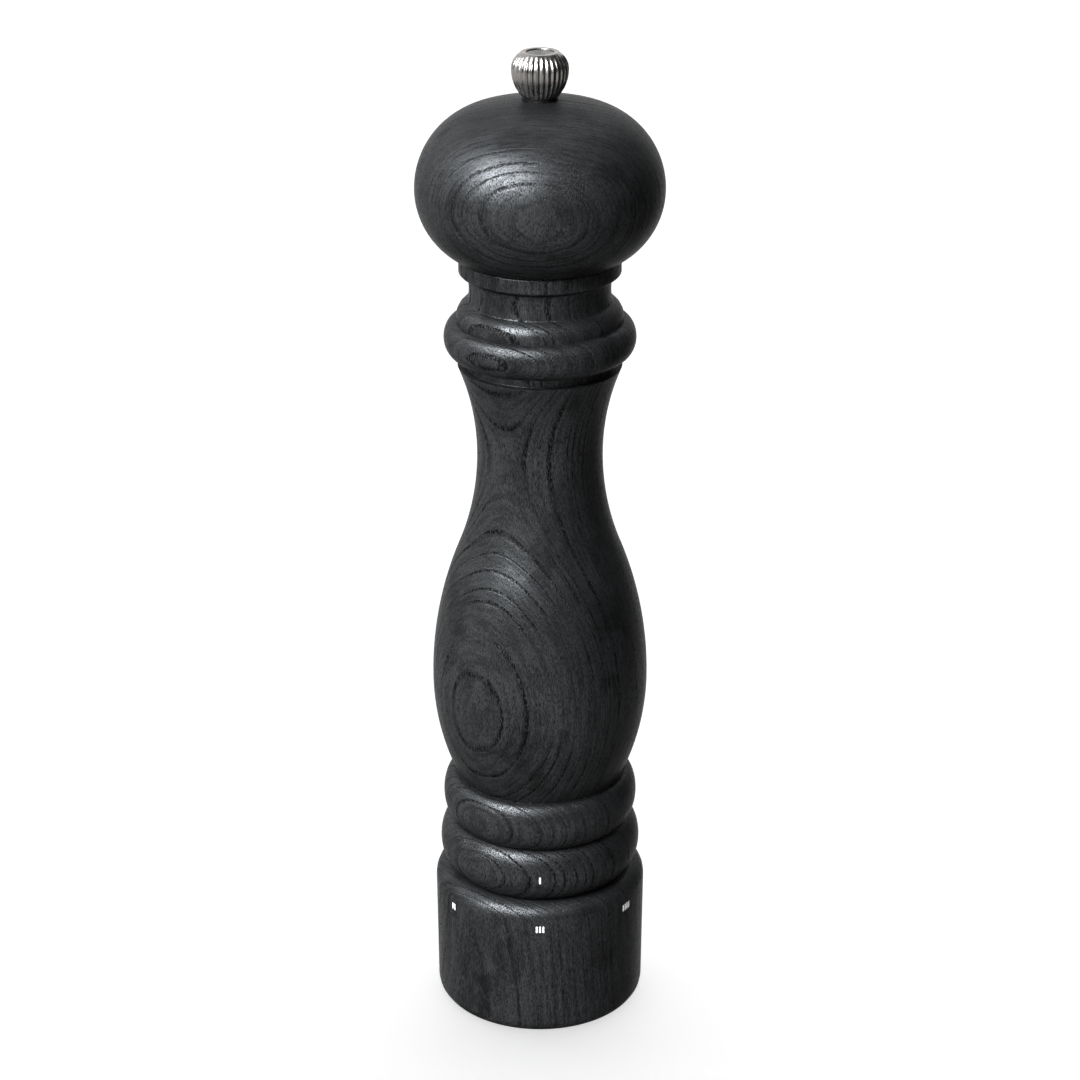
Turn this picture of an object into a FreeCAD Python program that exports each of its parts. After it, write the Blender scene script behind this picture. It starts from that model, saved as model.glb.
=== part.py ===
"""A turned wooden pepper mill with a screw knob, a lift-off head and a selector ring at its base.

Everything is in millimetres. +Z is up, the origin is the centre of the circle that the mill
stands on, and -Y is the side that carries the index mark. Each sub-part is drawn from its own
lowest or seating plane and then placed at its height by its Placement.
"""
import FreeCAD, Part
import math
import os
import re

import Sketcher

V = FreeCAD.Vector
os.makedirs("parts", exist_ok=True)
doc = FreeCAD.newDocument("pepper_mill")

# ---------------------------------------------------------------- driving dimensions

SIZES = [
    # fits and clearances
    ("glue_gap", 0.05, "between pieces that are pressed, glued or screwed together"),
    ("running_gap", 0.05, "radial clearance of a shaft or a ring that turns in its seat"),
    ("turning_gap", 0.15, "height of the gap between faces that turn on each other"),
    ("sliding_gap", 0.15, "clearance of a loose sliding fit"),
    # selector ring at the base
    ("ring_height", 45.0, "height of the selector ring"),
    ("ring_taper", 0.3, "how much smaller the ring is low down, above its foot round"),
    ("ring_wall", 6.45, "wall of the ring around the nut"),
    ("ring_foot_round", 3.6, "round at the foot of the ring"),
    ("ring_shoulder", 5.3, "height over which the ring rounds in to its top"),
    ("ring_bore_chamfer", 1.2, "chamfer at the mouth of the ring's bore"),
    # turned body
    ("crease_wall", 1.45, "wood outside the screw holes at the foot of the lower bead"),
    ("lower_bead_height", 16.9, "height of the lower bead"),
    ("lower_bead_swell", 4.8, "how far the lower bead stands out"),
    ("upper_bead_height", 15.2, "height of the upper bead"),
    ("upper_bead_swell", 3.7, "how far the upper bead stands out"),
    ("belly_foot_step", 0.5, "step in from the foot of the beads to the foot of the belly"),
    ("belly_rise", 32.0, "height from the beads to the widest place of the belly"),
    ("belly_swell", 7.0, "how far the belly swells from its foot"),
    ("belly_curve", 113.0, "radius of the curve from the belly towards the waist"),
    ("waist_rise", 104.1, "height from the beads to the waist"),
    ("waist_radius", 18.5, "radius of the waist"),
    ("collar_rise", 131.6, "height from the beads to the edge under the neck"),
    ("collar_radius", 24.0, "radius of that edge"),
    ("neck_groove_radius", 21.8, "radius of the groove above the edge"),
    ("neck_groove_height", 3.2, "height of the groove"),
    ("neck_bead_root", 24.3, "radius at the foot of the neck bead"),
    ("neck_bead_radius", 27.9, "radius of the neck bead"),
    ("neck_bead_height", 10.4, "height of the neck bead"),
    ("small_bead_radius", 24.2, "radius of the half bead above it"),
    ("small_bead_straight", 1.0, "straight foot of the half bead"),
    ("small_bead_rise", 4.7, "height of its curve"),
    ("cove_radius", 20.8, "radius at both ends of the cove"),
    ("cove_height", 7.3, "height of the cove"),
    ("cove_curve", 20.0, "radius of the cove's curve"),
    ("rim_radius", 23.4, "radius of the rim that the head turns on"),
    ("rim_height", 5.8, "height from the cove to the top of the rim"),
    ("rim_flare", 1.1, "height of the rim's sloped underside"),
    ("edge_round", 0.4, "small round on turned edges"),
    ("chamber_radius", 13.0, "radius of the peppercorn chamber"),
    # head
    ("head_foot_radius", 23.8, "radius of the head's foot"),
    ("head_radius", 35.6, "radius of the head"),
    ("head_lower_rise", 19.7, "height from the foot to the widest place"),
    ("head_upper_rise", 25.7, "height from the widest place to the crown"),
    ("crown_flattening", 1.7, "upper rise of the head less the radius of its upper side"),
    ("spigot_radius", 14.9, "radius of the spigot under the head"),
    ("spigot_depth", 12.0, "length of the spigot"),
    ("plate_thickness", 1.5, "thickness of the drive plate"),
    ("plate_inset", 1.6, "how much smaller than the spigot the drive plate is"),
    ("plate_screw_inset", 5.1, "distance from the side of the spigot to the plate's screws"),
    ("plate_screw_count", 3, "number of those screws"),
    ("seat_depth", 0.4, "depth of the flat seat in the crown"),
    # knob
    ("knob_washer_radius", 5.0, "radius of the washer under the knob"),
    ("knob_washer_height", 1.0, "thickness of that washer"),
    ("knob_foot_radius", 5.2, "radius of the knob's foot"),
    ("knob_radius", 8.1, "radius of the knob"),
    ("knob_lower_rise", 7.7, "height from the knob's foot to its widest place"),
    ("knob_upper_rise", 4.2, "height from there to the top rim"),
    ("knob_rim_radius", 5.9, "radius of the top rim"),
    ("knob_bevel", 0.6, "height of the bevel on the rim"),
    ("knob_bore_depth", 9.2, "depth of the knob's threaded bore"),
    ("flute_count", 32, "number of flutes"),
    ("flute_radius", 0.66, "radius of a flute's section"),
    ("flute_depth", 0.36, "depth of a flute"),
    ("disc_radius", 3.9, "radius of the disc set in the knob"),
    ("disc_thickness", 0.8, "thickness of the disc"),
    ("disc_sink", 0.25, "how far the disc lies below the rim"),
    # drive shaft
    ("shaft_width", 6.0, "width across the flats of the square shaft"),
    ("thread_radius", 3.0, "outer radius of the shaft's threaded end"),
    ("thread_length", 24.0, "length of the threaded end"),
    ("shaft_clearance", 0.36, "distance from the shaft's corners to a hole that it passes"),
    ("groove_rise", 0.4, "distance from the shaft's flats to the floor of its groove"),
    ("circlip_width", 2.2, "radial width of the shaft's retaining ring"),
    ("circlip_thickness", 0.8, "thickness of the retaining ring"),
    ("circlip_opening", 2.4, "width of the opening of a retaining ring"),
    ("washer_width", 2.6, "radial width of the shaft washer"),
    ("washer_thickness", 0.8, "thickness of the shaft washer"),
    # mechanism housing
    ("housing_bore", 17.4, "bore of the housing"),
    ("barrel_wall", 2.0, "wall of the barrel inside the wood"),
    ("barrel_height", 36.0, "height of the barrel"),
    ("flange_width", 4.4, "how far the flange reaches beyond the skirt"),
    ("flange_thickness", 2.5, "thickness of the flange"),
    ("skirt_wall", 4.1, "wall of the skirt"),
    ("skirt_clearance", 6.5, "height of the skirt's end above the table"),
    ("ledge_margin", 1.5, "distance from the bracket's screws to the edge of the ledge"),
    ("ledge_rise", 0.9, "height of the ledge's underside above the flange"),
    ("ledge_thickness", 2.5, "thickness of the ledge"),
    ("housing_screw_offset", 2.0, "distance from the skirt to the housing's screws"),
    ("housing_screw_count", 3, "number of those screws"),
    ("housing_screw_length", 12.0, "length of those screws"),
    ("screw_radius", 1.0, "shank radius of the small screws"),
    ("screw_head_radius", 1.8, "head radius of the small screws"),
    ("screw_head_height", 1.2, "head height of the small screws"),
    ("short_screw_length", 3.2, "length of the bracket's screws"),
    ("plate_screw_length", 7.0, "length of the drive plate's screws"),
    # bracket that carries the shaft
    ("strap_wall", 1.4, "metal beside the shaft's hole in the bracket's strap"),
    ("strap_thickness", 1.0, "thickness of the strap"),
    ("strap_clearance", 1.4, "distance from each leg of the bracket to the barrel"),
    ("strap_height", 14.5, "height of the bracket"),
    ("strap_bend", 2.0, "outer radius of the strap's bends"),
    ("foot_setback", 0.3, "distance from the edge of the ledge to the tip of each foot"),
    ("foot_screw_gap", 0.1, "distance from each foot's screw head to the leg"),
    # grinding ring and cone
    ("stator_height", 16.0, "height of the grinding ring"),
    ("stator_mouth", 11.4, "radius of the ring's mouth"),
    ("stator_throat", 11.0, "radius of the ring's throat"),
    ("stator_throat_drop", 3.0, "depth of the throat below the mouth"),
    ("stator_wall", 2.15, "wall of the grinding ring at its exit"),
    ("stator_exit_height", 3.0, "height of the ring's straight exit"),
    ("stator_teeth", 24, "number of teeth in the ring"),
    ("grinding_gap", 0.9, "radial distance between ring and cone"),
    ("cone_height", 17.0, "height of the grinding cone"),
    ("cone_teeth", 18, "number of teeth on the cone"),
    ("cone_wall", 1.46, "metal of the cone's top beside the shaft's corners"),
    ("cone_fine_rise", 4.0, "height of the cone's fine taper"),
    ("cone_sunk", 3.0, "how far the cone reaches below the ring"),
    ("tooth_slot_width", 1.1, "width of the slot between teeth"),
    ("tooth_depth", 0.7, "depth of that slot"),
    ("feed_teeth", 6, "number of feed grooves on the cone's upper part"),
    ("feed_width", 2.6, "width of a feed groove"),
    ("feed_depth", 1.3, "depth of a feed groove"),
    # bridge
    ("bridge_thickness", 4.0, "thickness of the bridge"),
    ("bridge_hub_radius", 10.0, "radius of the bridge's hub"),
    ("bridge_arm_width", 5.0, "width of each arm of the bridge"),
    ("bridge_arm_count", 3, "number of arms"),
    ("thrust_radius", 9.0, "radius of the thrust washer"),
    ("thrust_bore", 4.5, "bore of the thrust washer"),
    ("thrust_thickness", 1.0, "thickness of the thrust washer"),
    ("slot_headroom", 2.0, "room for the arms above their rest height"),
    ("slot_side_gap", 0.2, "room on each side of an arm in its slot"),
    # nut inside the selector ring
    ("nut_clearance", 10.0, "height of the nut's end above the table"),
    ("nut_wall", 4.5, "how far the nut reaches beyond the skirt"),
    ("nut_thread_offset", 2.1, "distance from the skirt to the nut's threaded part"),
    ("nut_collar_height", 12.55, "height of the nut's upper part, which turns on the skirt"),
    # retaining ring of the nut
    ("retainer_reach", 3.5, "how far the nut's retaining ring reaches beyond the skirt"),
    ("retainer_thickness", 1.2, "thickness of the nut's retaining ring"),
    ("retainer_groove_depth", 0.9, "depth of the groove that holds it"),
    ("retainer_opening", 6.0, "width of the opening of the nut's retaining ring"),
    # click stop
    ("click_step", 55.0, "turn from one setting to the next, in degrees"),
    ("clicks_down", 3, "settings on the coarse side of the one set"),
    ("clicks_up", 2, "settings on the fine side of the one set"),
    ("detent_drop", 6.55, "distance from the top of the nut down to the ball"),
    ("ball_radius", 1.5, "radius of the ball"),
    ("ball_standoff", 0.05, "distance of the pressed ball from the skirt"),
    ("notch_depth", 0.6, "depth of each notch in the skirt"),
    ("notch_radius", 1.7, "radius of each notch"),
    ("detent_spring_length", 4.5, "length of the spring behind the ball"),
    ("detent_wire", 0.25, "radius of that spring's wire"),
    ("detent_spring_turns", 5, "turns of that spring"),
    # grinder spring
    ("spring_wire", 0.45, "radius of the grinder spring's wire"),
    ("spring_clearance", 0.5, "distance from the grinder spring to the shaft's corners"),
    ("spring_turns", 7, "turns of the grinder spring"),
]

# Sizes that follow from the ones above, from the shaft outwards and from the bore outwards.
FITTED_SIZES = [
    ("shaft_corner", "shaft_width / sqrt(2)", "distance from the axis to the shaft's corners"),
    ("shaft_bore_radius", "shaft_corner + shaft_clearance", "hole that clears the square shaft"),
    ("groove_depth_radius", "shaft_width / 2 + groove_rise", "floor of the shaft's groove"),
    ("circlip_radius", "groove_depth_radius + circlip_width", "shaft's retaining ring"),
    ("washer_radius", "shaft_bore_radius + washer_width", "shaft washer"),
    ("spring_radius", "shaft_corner + spring_clearance + spring_wire", "grinder spring's coil"),
    ("cone_nose", "shaft_corner + cone_wall", "top of the grinding cone"),
    ("strap_width", "2 * (shaft_bore_radius + strap_wall)", "width of the bracket's strap"),
    ("strap_reach", "housing_bore - strap_clearance", "outside of each leg"),
    ("foot_screw_place", "strap_reach - strap_thickness - foot_screw_gap - screw_head_radius",
     "screw in each foot of the bracket"),
    ("ledge_radius", "foot_screw_place - ledge_margin", "opening in the housing's ledge"),
    ("foot_reach", "ledge_radius + foot_setback", "tip of each foot of the bracket"),
    ("barrel_radius", "housing_bore + barrel_wall", "barrel inside the wood"),
    ("stator_exit", "housing_bore - glue_gap - stator_wall", "exit of the grinding ring"),
    ("skirt_radius", "housing_bore + skirt_wall", "outside of the skirt"),
    ("flange_radius", "skirt_radius + flange_width", "flange under the wood"),
    ("housing_screw_circle", "skirt_radius + housing_screw_offset", "housing's screws"),
    ("retainer_radius", "skirt_radius + retainer_reach", "nut's retaining ring"),
    ("retainer_seat", "skirt_radius - retainer_groove_depth", "floor of that ring's groove"),
    ("nut_thread_radius", "skirt_radius + nut_thread_offset", "nut's threaded part"),
    ("nut_radius", "skirt_radius + nut_wall", "outside of the nut"),
    ("nut_top", "ring_height + turning_gap - 2 * glue_gap - flange_thickness",
     "height of the nut's top above the table"),
    ("nut_thread_height", "nut_top - nut_clearance - nut_collar_height", "nut's threaded part"),
    ("detent_height", "nut_top - detent_drop", "height of the ball above the table"),
    ("ring_radius", "nut_radius + glue_gap + ring_wall", "ring under its shoulder"),
    ("ring_foot_radius", "ring_radius - ring_taper", "ring above its foot round"),
    ("crease_radius", "housing_screw_circle + screw_radius + glue_gap + crease_wall",
     "foot of each bead"),
    ("lower_bead_radius", "crease_radius + lower_bead_swell", "lower bead"),
    ("upper_bead_radius", "crease_radius + upper_bead_swell", "upper bead"),
    ("belly_foot_radius", "crease_radius - belly_foot_step", "foot of the belly"),
    ("belly_radius", "belly_foot_radius + belly_swell", "belly"),
    ("head_side_curve", "head_upper_rise - crown_flattening", "upper side of the head"),
    ("plate_radius", "spigot_radius - plate_inset", "drive plate"),
    ("plate_screw_circle", "spigot_radius - plate_screw_inset", "drive plate's screws"),
]

sheet = doc.addObject("Spreadsheet::Sheet", "sizes")
ALL_SIZES = SIZES + [(alias, "=" + rule, note) for alias, rule, note in FITTED_SIZES]
for row, (alias, content, note) in enumerate(ALL_SIZES, start=1):
    sheet.set("A%d" % row, note)
    sheet.set("B%d" % row, str(content))
    sheet.setAlias("B%d" % row, alias)
doc.recompute()
ALIASES = {alias for alias, content, note in ALL_SIZES}


def bound(expression):
    """Turns words such as ring_height into references to the sheet's cells."""
    return re.sub(r"[a-z_]+", lambda word: "sizes." + word[0] if word[0] in ALIASES else word[0],
                  expression)


def value(expression):
    """The number that an expression gives now."""
    return float(sheet.evalExpression(bound(expression)))


# ---------------------------------------------------------------- heights above the table

BODY_FOOT = "(ring_height + turning_gap)"
BEADS = "(lower_bead_height + upper_bead_height)"
NECK_GROOVE = f"({BEADS} + collar_rise)"
NECK_BEAD = f"({NECK_GROOVE} + neck_groove_height)"
SMALL_BEAD = f"({NECK_BEAD} + neck_bead_height)"
COVE = f"({SMALL_BEAD} + small_bead_straight + small_bead_rise)"
RIM = f"({COVE} + cove_height)"
BODY_HEIGHT = f"({RIM} + rim_height)"
HEAD_FOOT = f"({BODY_FOOT} + {BODY_HEIGHT} + turning_gap)"
CROWN = "(head_lower_rise + head_upper_rise)"
SEAT = f"({HEAD_FOOT} + {CROWN} - seat_depth)"
KNOB_FOOT = f"({SEAT} + 2 * glue_gap + knob_washer_height)"
KNOB_HEIGHT = "(knob_lower_rise + knob_upper_rise + knob_bevel)"
SPIGOT_WELL = "(spigot_depth + plate_thickness + 2 * glue_gap + screw_head_height + sliding_gap)"

FLANGE_TOP = f"({BODY_FOOT} - glue_gap)"
SKIRT_LENGTH = f"({FLANGE_TOP} - skirt_clearance)"
LEDGE_TOP = "(ledge_rise + ledge_thickness)"
STATOR_TOP = f"({FLANGE_TOP} + ledge_rise - glue_gap)"
CONE_FOOT = f"({STATOR_TOP} - stator_height - cone_sunk)"
CONE_TOP = f"({CONE_FOOT} + cone_height)"
THRUST_FOOT = f"({CONE_FOOT} - glue_gap - thrust_thickness)"
BRIDGE_FOOT = f"({THRUST_FOOT} - glue_gap - bridge_thickness)"
BRACKET_FOOT = f"({FLANGE_TOP} + {LEDGE_TOP} + glue_gap)"
BRACKET_TOP = f"({BRACKET_FOOT} + strap_height)"
WASHER_FOOT = f"({BRACKET_TOP} + glue_gap)"
CIRCLIP_FOOT = f"({WASHER_FOOT} + washer_thickness + glue_gap)"
SHAFT_FOOT = f"({CONE_FOOT} + cone_sunk)"
SHAFT_TOP = f"({KNOB_FOOT} + knob_bore_depth - 2 * glue_gap)"
SHAFT_LENGTH = f"({SHAFT_TOP} - {SHAFT_FOOT})"
SHOULDER = f"({SHAFT_TOP} - thread_length)"
NUT_HEIGHT = "(nut_top - nut_clearance)"
NUT_BORE = "(skirt_radius + running_gap)"
RETAINER_FOOT = "(nut_clearance - glue_gap - retainer_thickness)"
RETAINER_GROOVE = "(retainer_thickness + 2 * glue_gap)"
ARM_REACH = "(nut_thread_radius - running_gap)"


BALL_PLACE = "(skirt_radius + ball_standoff + ball_radius)"
DETENT_FLOOR = f"({BALL_PLACE} + ball_radius + detent_spring_length + 2 * glue_gap)"

LOWER_FLUTE_SWEEP = 60
UPPER_FLUTE_SWEEP = 57


# ---------------------------------------------------------------- drawing helpers

def new_body(label, height="0"):
    """An empty sub-part whose own frame sits at the given height above the table."""
    body = doc.addObject("PartDesign::Body", label)
    body.Label = label
    body.AllowCompound = True
    body.setExpression("Placement.Base.z", bound(height))
    return body


def origin_feature(body, role):
    """One of the planes or axes of a sub-part's own origin."""
    return next(item for item in body.Origin.OriginFeatures if item.Role == role)


def new_sketch(body, name, plane="XZ_Plane", lift="0"):
    """A sketch on one of the sub-part's origin planes, lifted along the plane's normal."""
    sketch = body.newObject("Sketcher::SketchObject", name)
    sketch.AttachmentSupport = [(origin_feature(body, plane), "")]
    sketch.MapMode = "FlatFace"
    sketch.setExpression("AttachmentOffset.Base.z", bound(lift))
    return sketch


def tie(sketch, kind, references, expression, name):
    """Adds one dimension to a sketch and ties it to the sheet."""
    index = sketch.addConstraint(Sketcher.Constraint(kind, *references, value(expression)))
    sketch.renameConstraint(index, name)
    sketch.setExpression("Constraints." + name, bound(expression))


def tie_point(sketch, item, end, across, up, name):
    """Places a point of a sketch by its two distances from the sketch's origin."""
    for kind, axis, expression in (("DistanceX", -2, across), ("DistanceY", -1, up)):
        if expression == "0":
            sketch.addConstraint(Sketcher.Constraint("PointOnObject", item, end, axis))
        else:
            tie(sketch, kind, (-1, 1, item, end), expression, kind[-1].lower() + "_" + name)


def draw_outline(sketch, *corners):
    """Draws a closed outline whose corners and radii are all tied to the sheet.

    A corner is (across, up) for a straight run that ends there, or (across, up, radius, bend)
    for an arc that ends there and bends left for +1 and right for -1.
    """
    first = sketch.GeometryCount
    points = [V(value(corner[0]), value(corner[1]), 0) for corner in corners]
    ends = []
    for index, corner in enumerate(corners):
        begin, end = points[index - 1], points[index]
        if len(corner) == 2:
            sketch.addGeometry(Part.LineSegment(begin, end))
            ends.append((1, 2))
            continue
        radius, bend = value(corner[2]), corner[3]
        half = (end - begin) * 0.5
        left = V(-half.y, half.x, 0).normalize()
        centre = begin + half + left * (bend * math.sqrt(radius ** 2 - half.Length ** 2))
        angles = [math.atan2(point.y - centre.y, point.x - centre.x) for point in (begin, end)]
        circle = Part.Circle(centre, V(0, 0, 1), radius)
        sketch.addGeometry(Part.ArcOfCircle(circle, *angles[::bend]))
        ends.append((1, 2)[::bend])
    for index, corner in enumerate(corners):
        following = (index + 1) % len(corners)
        sketch.addConstraint(Sketcher.Constraint("Coincident", first + index, ends[index][1],
                                                 first + following, ends[following][0]))
    for index, corner in enumerate(corners):
        name = "corner_%d" % (first + index)
        tie_point(sketch, first + index, ends[index][1], corner[0], corner[1], name)
        if len(corner) > 2:
            tie(sketch, "Radius", (first + index,), corner[2], "radius_%d" % (first + index))


def draw_circle(sketch, across, up, radius):
    """Draws a circle whose centre and radius are tied to the sheet."""
    centre = V(value(across), value(up), 0)
    item = sketch.addGeometry(Part.Circle(centre, V(0, 0, 1), value(radius)))
    tie_point(sketch, item, 3, across, up, "centre_%d" % item)
    tie(sketch, "Radius", (item,), radius, "radius_%d" % item)


def draw_box(sketch, low_across, low_up, high_across, high_up):
    """Draws an upright rectangle between two opposite corners."""
    draw_outline(sketch, (low_across, low_up), (high_across, low_up),
                 (high_across, high_up), (low_across, high_up))


def draw_centred_box(sketch, width, depth):
    """Draws a rectangle centred on the sketch's origin."""
    draw_box(sketch, f"-{width} / 2", f"-{depth} / 2", f"{width} / 2", f"{depth} / 2")


def spin(body, sketch, cut=False):
    """Turns a sketch once round the sub-part's own Z axis, as material or as a cut."""
    kind = "PartDesign::Groove" if cut else "PartDesign::Revolution"
    feature = body.newObject(kind, sketch.Name + "_turned")
    feature.Profile = sketch
    feature.ReferenceAxis = (sketch, ["V_Axis"])
    feature.Angle = 360
    doc.recompute()


def push(body, sketch, length, cut=False, both_ways=False):
    """Pads a sketch along its normal, or cuts along it; both_ways centres it on the sketch."""
    kind = "PartDesign::Pocket" if cut else "PartDesign::Pad"
    feature = body.newObject(kind, sketch.Name + "_pushed")
    feature.Profile = sketch
    if both_ways:
        feature.SideType = "Symmetric"
    elif cut:
        feature.Reversed = True
    feature.setExpression("Length", bound(length))
    doc.recompute()
    return feature


def repeat(body, features, count, angle="360", backwards=False):
    """Repeats features round the sub-part's own Z axis, evenly over the given angle."""
    pattern = body.newObject("PartDesign::PolarPattern", features[0].Name + "_repeated")
    pattern.Originals = features
    pattern.Axis = (origin_feature(body, "Z_Axis"), [""])
    pattern.Reversed = backwards
    pattern.setExpression("Angle", bound(angle))
    pattern.setExpression("Occurrences", bound(count))
    body.Tip = pattern
    doc.recompute()


def turned(label, height, *corners):
    """A sub-part turned from one closed outline."""
    body = new_body(label, height)
    sketch = new_sketch(body, label + "_profile")
    draw_outline(sketch, *corners)
    spin(body, sketch)
    return body


def tube(label, height, inner, outer, length):
    """A plain turned ring or washer that stands on its own origin."""
    return turned(label, height, (inner, "0"), (outer, "0"), (outer, length), (inner, length))


def cut_circle(body, name, foot, across, radius, depth):
    """Cuts one upright round hole upwards from the height foot, and returns the cut."""
    sketch = new_sketch(body, name, "XY_Plane", lift=foot)
    draw_circle(sketch, across, "0", radius)
    return push(body, sketch, depth, cut=True)


def cut_opening(body, name, width, reach, height):
    """Cuts an upright slot from the axis out through one side of a ring."""
    sketch = new_sketch(body, name, "XY_Plane")
    draw_box(sketch, "0", f"-{width} / 2", reach, f"{width} / 2")
    push(body, sketch, height, cut=True)


def cut_radial_hole(body, name, height, radius, start, reach):
    """Drills along +X at the given height, from start to reach, and returns the cut."""
    sketch = new_sketch(body, name, "YZ_Plane", lift=start)
    draw_circle(sketch, "0", height, radius)
    return push(body, sketch, f"{reach} - {start}", cut=True)


def make_screws(label, height, circle, count, length, upwards=True):
    """A circle of equal screws; each head stands on the origin plane and has a round socket."""
    body = new_body(label, height)
    head = new_sketch(body, label + "_head", "XY_Plane")
    draw_circle(head, circle, "0", "screw_head_radius")
    head_pad = push(body, head, "screw_head_height")
    shank = new_sketch(body, label + "_shank", "XY_Plane", lift="screw_head_height / 2")
    draw_circle(shank, circle, "0", "screw_radius")
    shank_pad = push(body, shank, f"{length} + screw_head_height / 2")
    shank_pad.Reversed = not upwards
    socket_floor = "-screw_head_height / 2" if upwards else "screw_head_height / 2"
    socket = cut_circle(body, label + "_socket", socket_floor, circle, "screw_radius * 0.6",
                        "screw_head_height")
    repeat(body, [head_pad, shank_pad, socket], count)


def add_bead(body, name, root, crest, foot, height):
    """Adds a bead of elliptical section: its root is the ellipse's upright axis."""
    sketch = new_sketch(body, name)
    middle = f"{foot} + {height} / 2"
    reach = f"({crest} - {root})"
    centre = V(value(root), value(middle), 0)
    top = centre + V(0, value(height) / 2, 0)
    side = centre + V(value(reach), 0, 0)
    item = sketch.addGeometry(Part.Ellipse(top, side, centre))
    sketch.exposeInternalGeometry(item)
    upright, level = item + 1, item + 2
    tie_point(sketch, item, 3, root, middle, "centre")
    sketch.addConstraint(Sketcher.Constraint("Vertical", upright))
    tie(sketch, "Distance", (upright,), height, "bead_height")
    tie(sketch, "Distance", (level,), f"2 * {reach}", "bead_depth")
    spin(body, sketch)


def arc_radius(rise, reach):
    """Radius of an arc that starts upright and leans in by reach over rise."""
    return f"(({rise}) ^ 2 + ({reach}) ^ 2) / (2 * ({reach}))"


# ---------------------------------------------------------------- turned wood

def make_turned_body():
    """The body: two beads, the belly and waist, the moulded neck, and the bores inside."""
    drop = "(waist_rise - belly_rise)"
    narrowing = "(belly_radius - waist_radius)"
    both_curves = f"(({drop} ^ 2 + {narrowing} ^ 2) / (2 * {narrowing}))"
    blend = f"({drop} * belly_curve / {both_curves})"
    blend_radius = f"belly_radius - belly_curve + sqrt(belly_curve ^ 2 - {blend} ^ 2)"
    swell = "belly_radius - belly_foot_radius"
    flare = "collar_radius - waist_radius"
    flare_rise = "collar_rise - waist_rise"
    half_bead = "small_bead_radius - cove_radius"
    barrel_well = "(barrel_height + 2 * glue_gap)"
    body = turned(
        "turned_body", BODY_FOOT,
        ("barrel_radius + glue_gap", "0"),
        ("crease_radius", "0"),
        ("crease_radius", BEADS),
        ("belly_foot_radius", BEADS),
        ("belly_radius", f"{BEADS} + belly_rise", arc_radius("belly_rise", swell), 1),
        (blend_radius, f"{BEADS} + belly_rise + {blend}", "belly_curve", 1),
        ("waist_radius", f"{BEADS} + waist_rise", f"{both_curves} - belly_curve", -1),
        ("collar_radius", NECK_GROOVE, arc_radius(flare_rise, flare), -1),
        ("neck_groove_radius", NECK_GROOVE),
        ("neck_groove_radius", NECK_BEAD),
        ("neck_bead_root", NECK_BEAD),
        ("neck_bead_root", SMALL_BEAD),
        ("small_bead_radius", SMALL_BEAD),
        ("small_bead_radius", f"{SMALL_BEAD} + small_bead_straight"),
        ("cove_radius", COVE, arc_radius("small_bead_rise", half_bead), 1),
        ("cove_radius", RIM, "cove_curve", -1),
        ("rim_radius - edge_round", f"{RIM} + rim_flare"),
        ("rim_radius", f"{RIM} + rim_flare + edge_round", "edge_round", 1),
        ("rim_radius", f"{BODY_HEIGHT} - edge_round"),
        ("rim_radius - edge_round", BODY_HEIGHT, "edge_round", 1),
        ("spigot_radius + sliding_gap", BODY_HEIGHT),
        ("spigot_radius + sliding_gap", f"{BODY_HEIGHT} - {SPIGOT_WELL}"),
        ("chamber_radius", f"{BODY_HEIGHT} - {SPIGOT_WELL}"),
        ("chamber_radius", barrel_well),
        ("barrel_radius + glue_gap", barrel_well))
    add_bead(body, "lower_bead", "crease_radius", "lower_bead_radius", "0", "lower_bead_height")
    add_bead(body, "upper_bead", "crease_radius", "upper_bead_radius", "lower_bead_height",
             "upper_bead_height")
    add_bead(body, "neck_bead", "neck_bead_root", "neck_bead_radius", NECK_BEAD,
             "neck_bead_height")
    hole = cut_circle(body, "screw_hole", "0", "housing_screw_circle", "screw_radius + glue_gap",
                      "housing_screw_length")
    repeat(body, [hole], "housing_screw_count")


def make_head():
    """The head: a ball with a spigot below, bored for the shaft and with a seat on its crown."""
    inward = "(head_radius - head_side_curve)"
    crown_curve = (f"(({inward} ^ 2 + head_upper_rise ^ 2 - head_side_curve ^ 2)"
                   " / (2 * head_upper_rise - 2 * head_side_curve))")
    share = f"({crown_curve} / ({crown_curve} - head_side_curve))"
    join = f"{CROWN} - {crown_curve} + ({crown_curve} - head_upper_rise) * {share}"
    seat_edge = "(knob_washer_radius + sliding_gap)"
    seat_lip = f"{CROWN} - {crown_curve} + sqrt({crown_curve} ^ 2 - {seat_edge} ^ 2)"
    shoulder = f"{SHOULDER} + glue_gap - {HEAD_FOOT}"
    foot_swell = "head_radius - head_foot_radius"
    body = turned(
        "head", HEAD_FOOT,
        ("shaft_bore_radius", "-spigot_depth"),
        ("spigot_radius", "-spigot_depth"),
        ("spigot_radius", "0"),
        ("head_foot_radius", "0"),
        ("head_radius", "head_lower_rise", arc_radius("head_lower_rise", foot_swell), 1),
        (f"{inward} * {share}", join, "head_side_curve", 1),
        (seat_edge, seat_lip, crown_curve, 1),
        (seat_edge, f"{CROWN} - seat_depth"),
        ("thread_radius + sliding_gap", f"{CROWN} - seat_depth"),
        ("thread_radius + sliding_gap", shoulder),
        ("shaft_bore_radius", shoulder))
    hole = cut_circle(body, "plate_screw_hole", "-spigot_depth", "plate_screw_circle",
                      "screw_radius + glue_gap", "plate_screw_length")
    repeat(body, [hole], "plate_screw_count")


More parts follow.
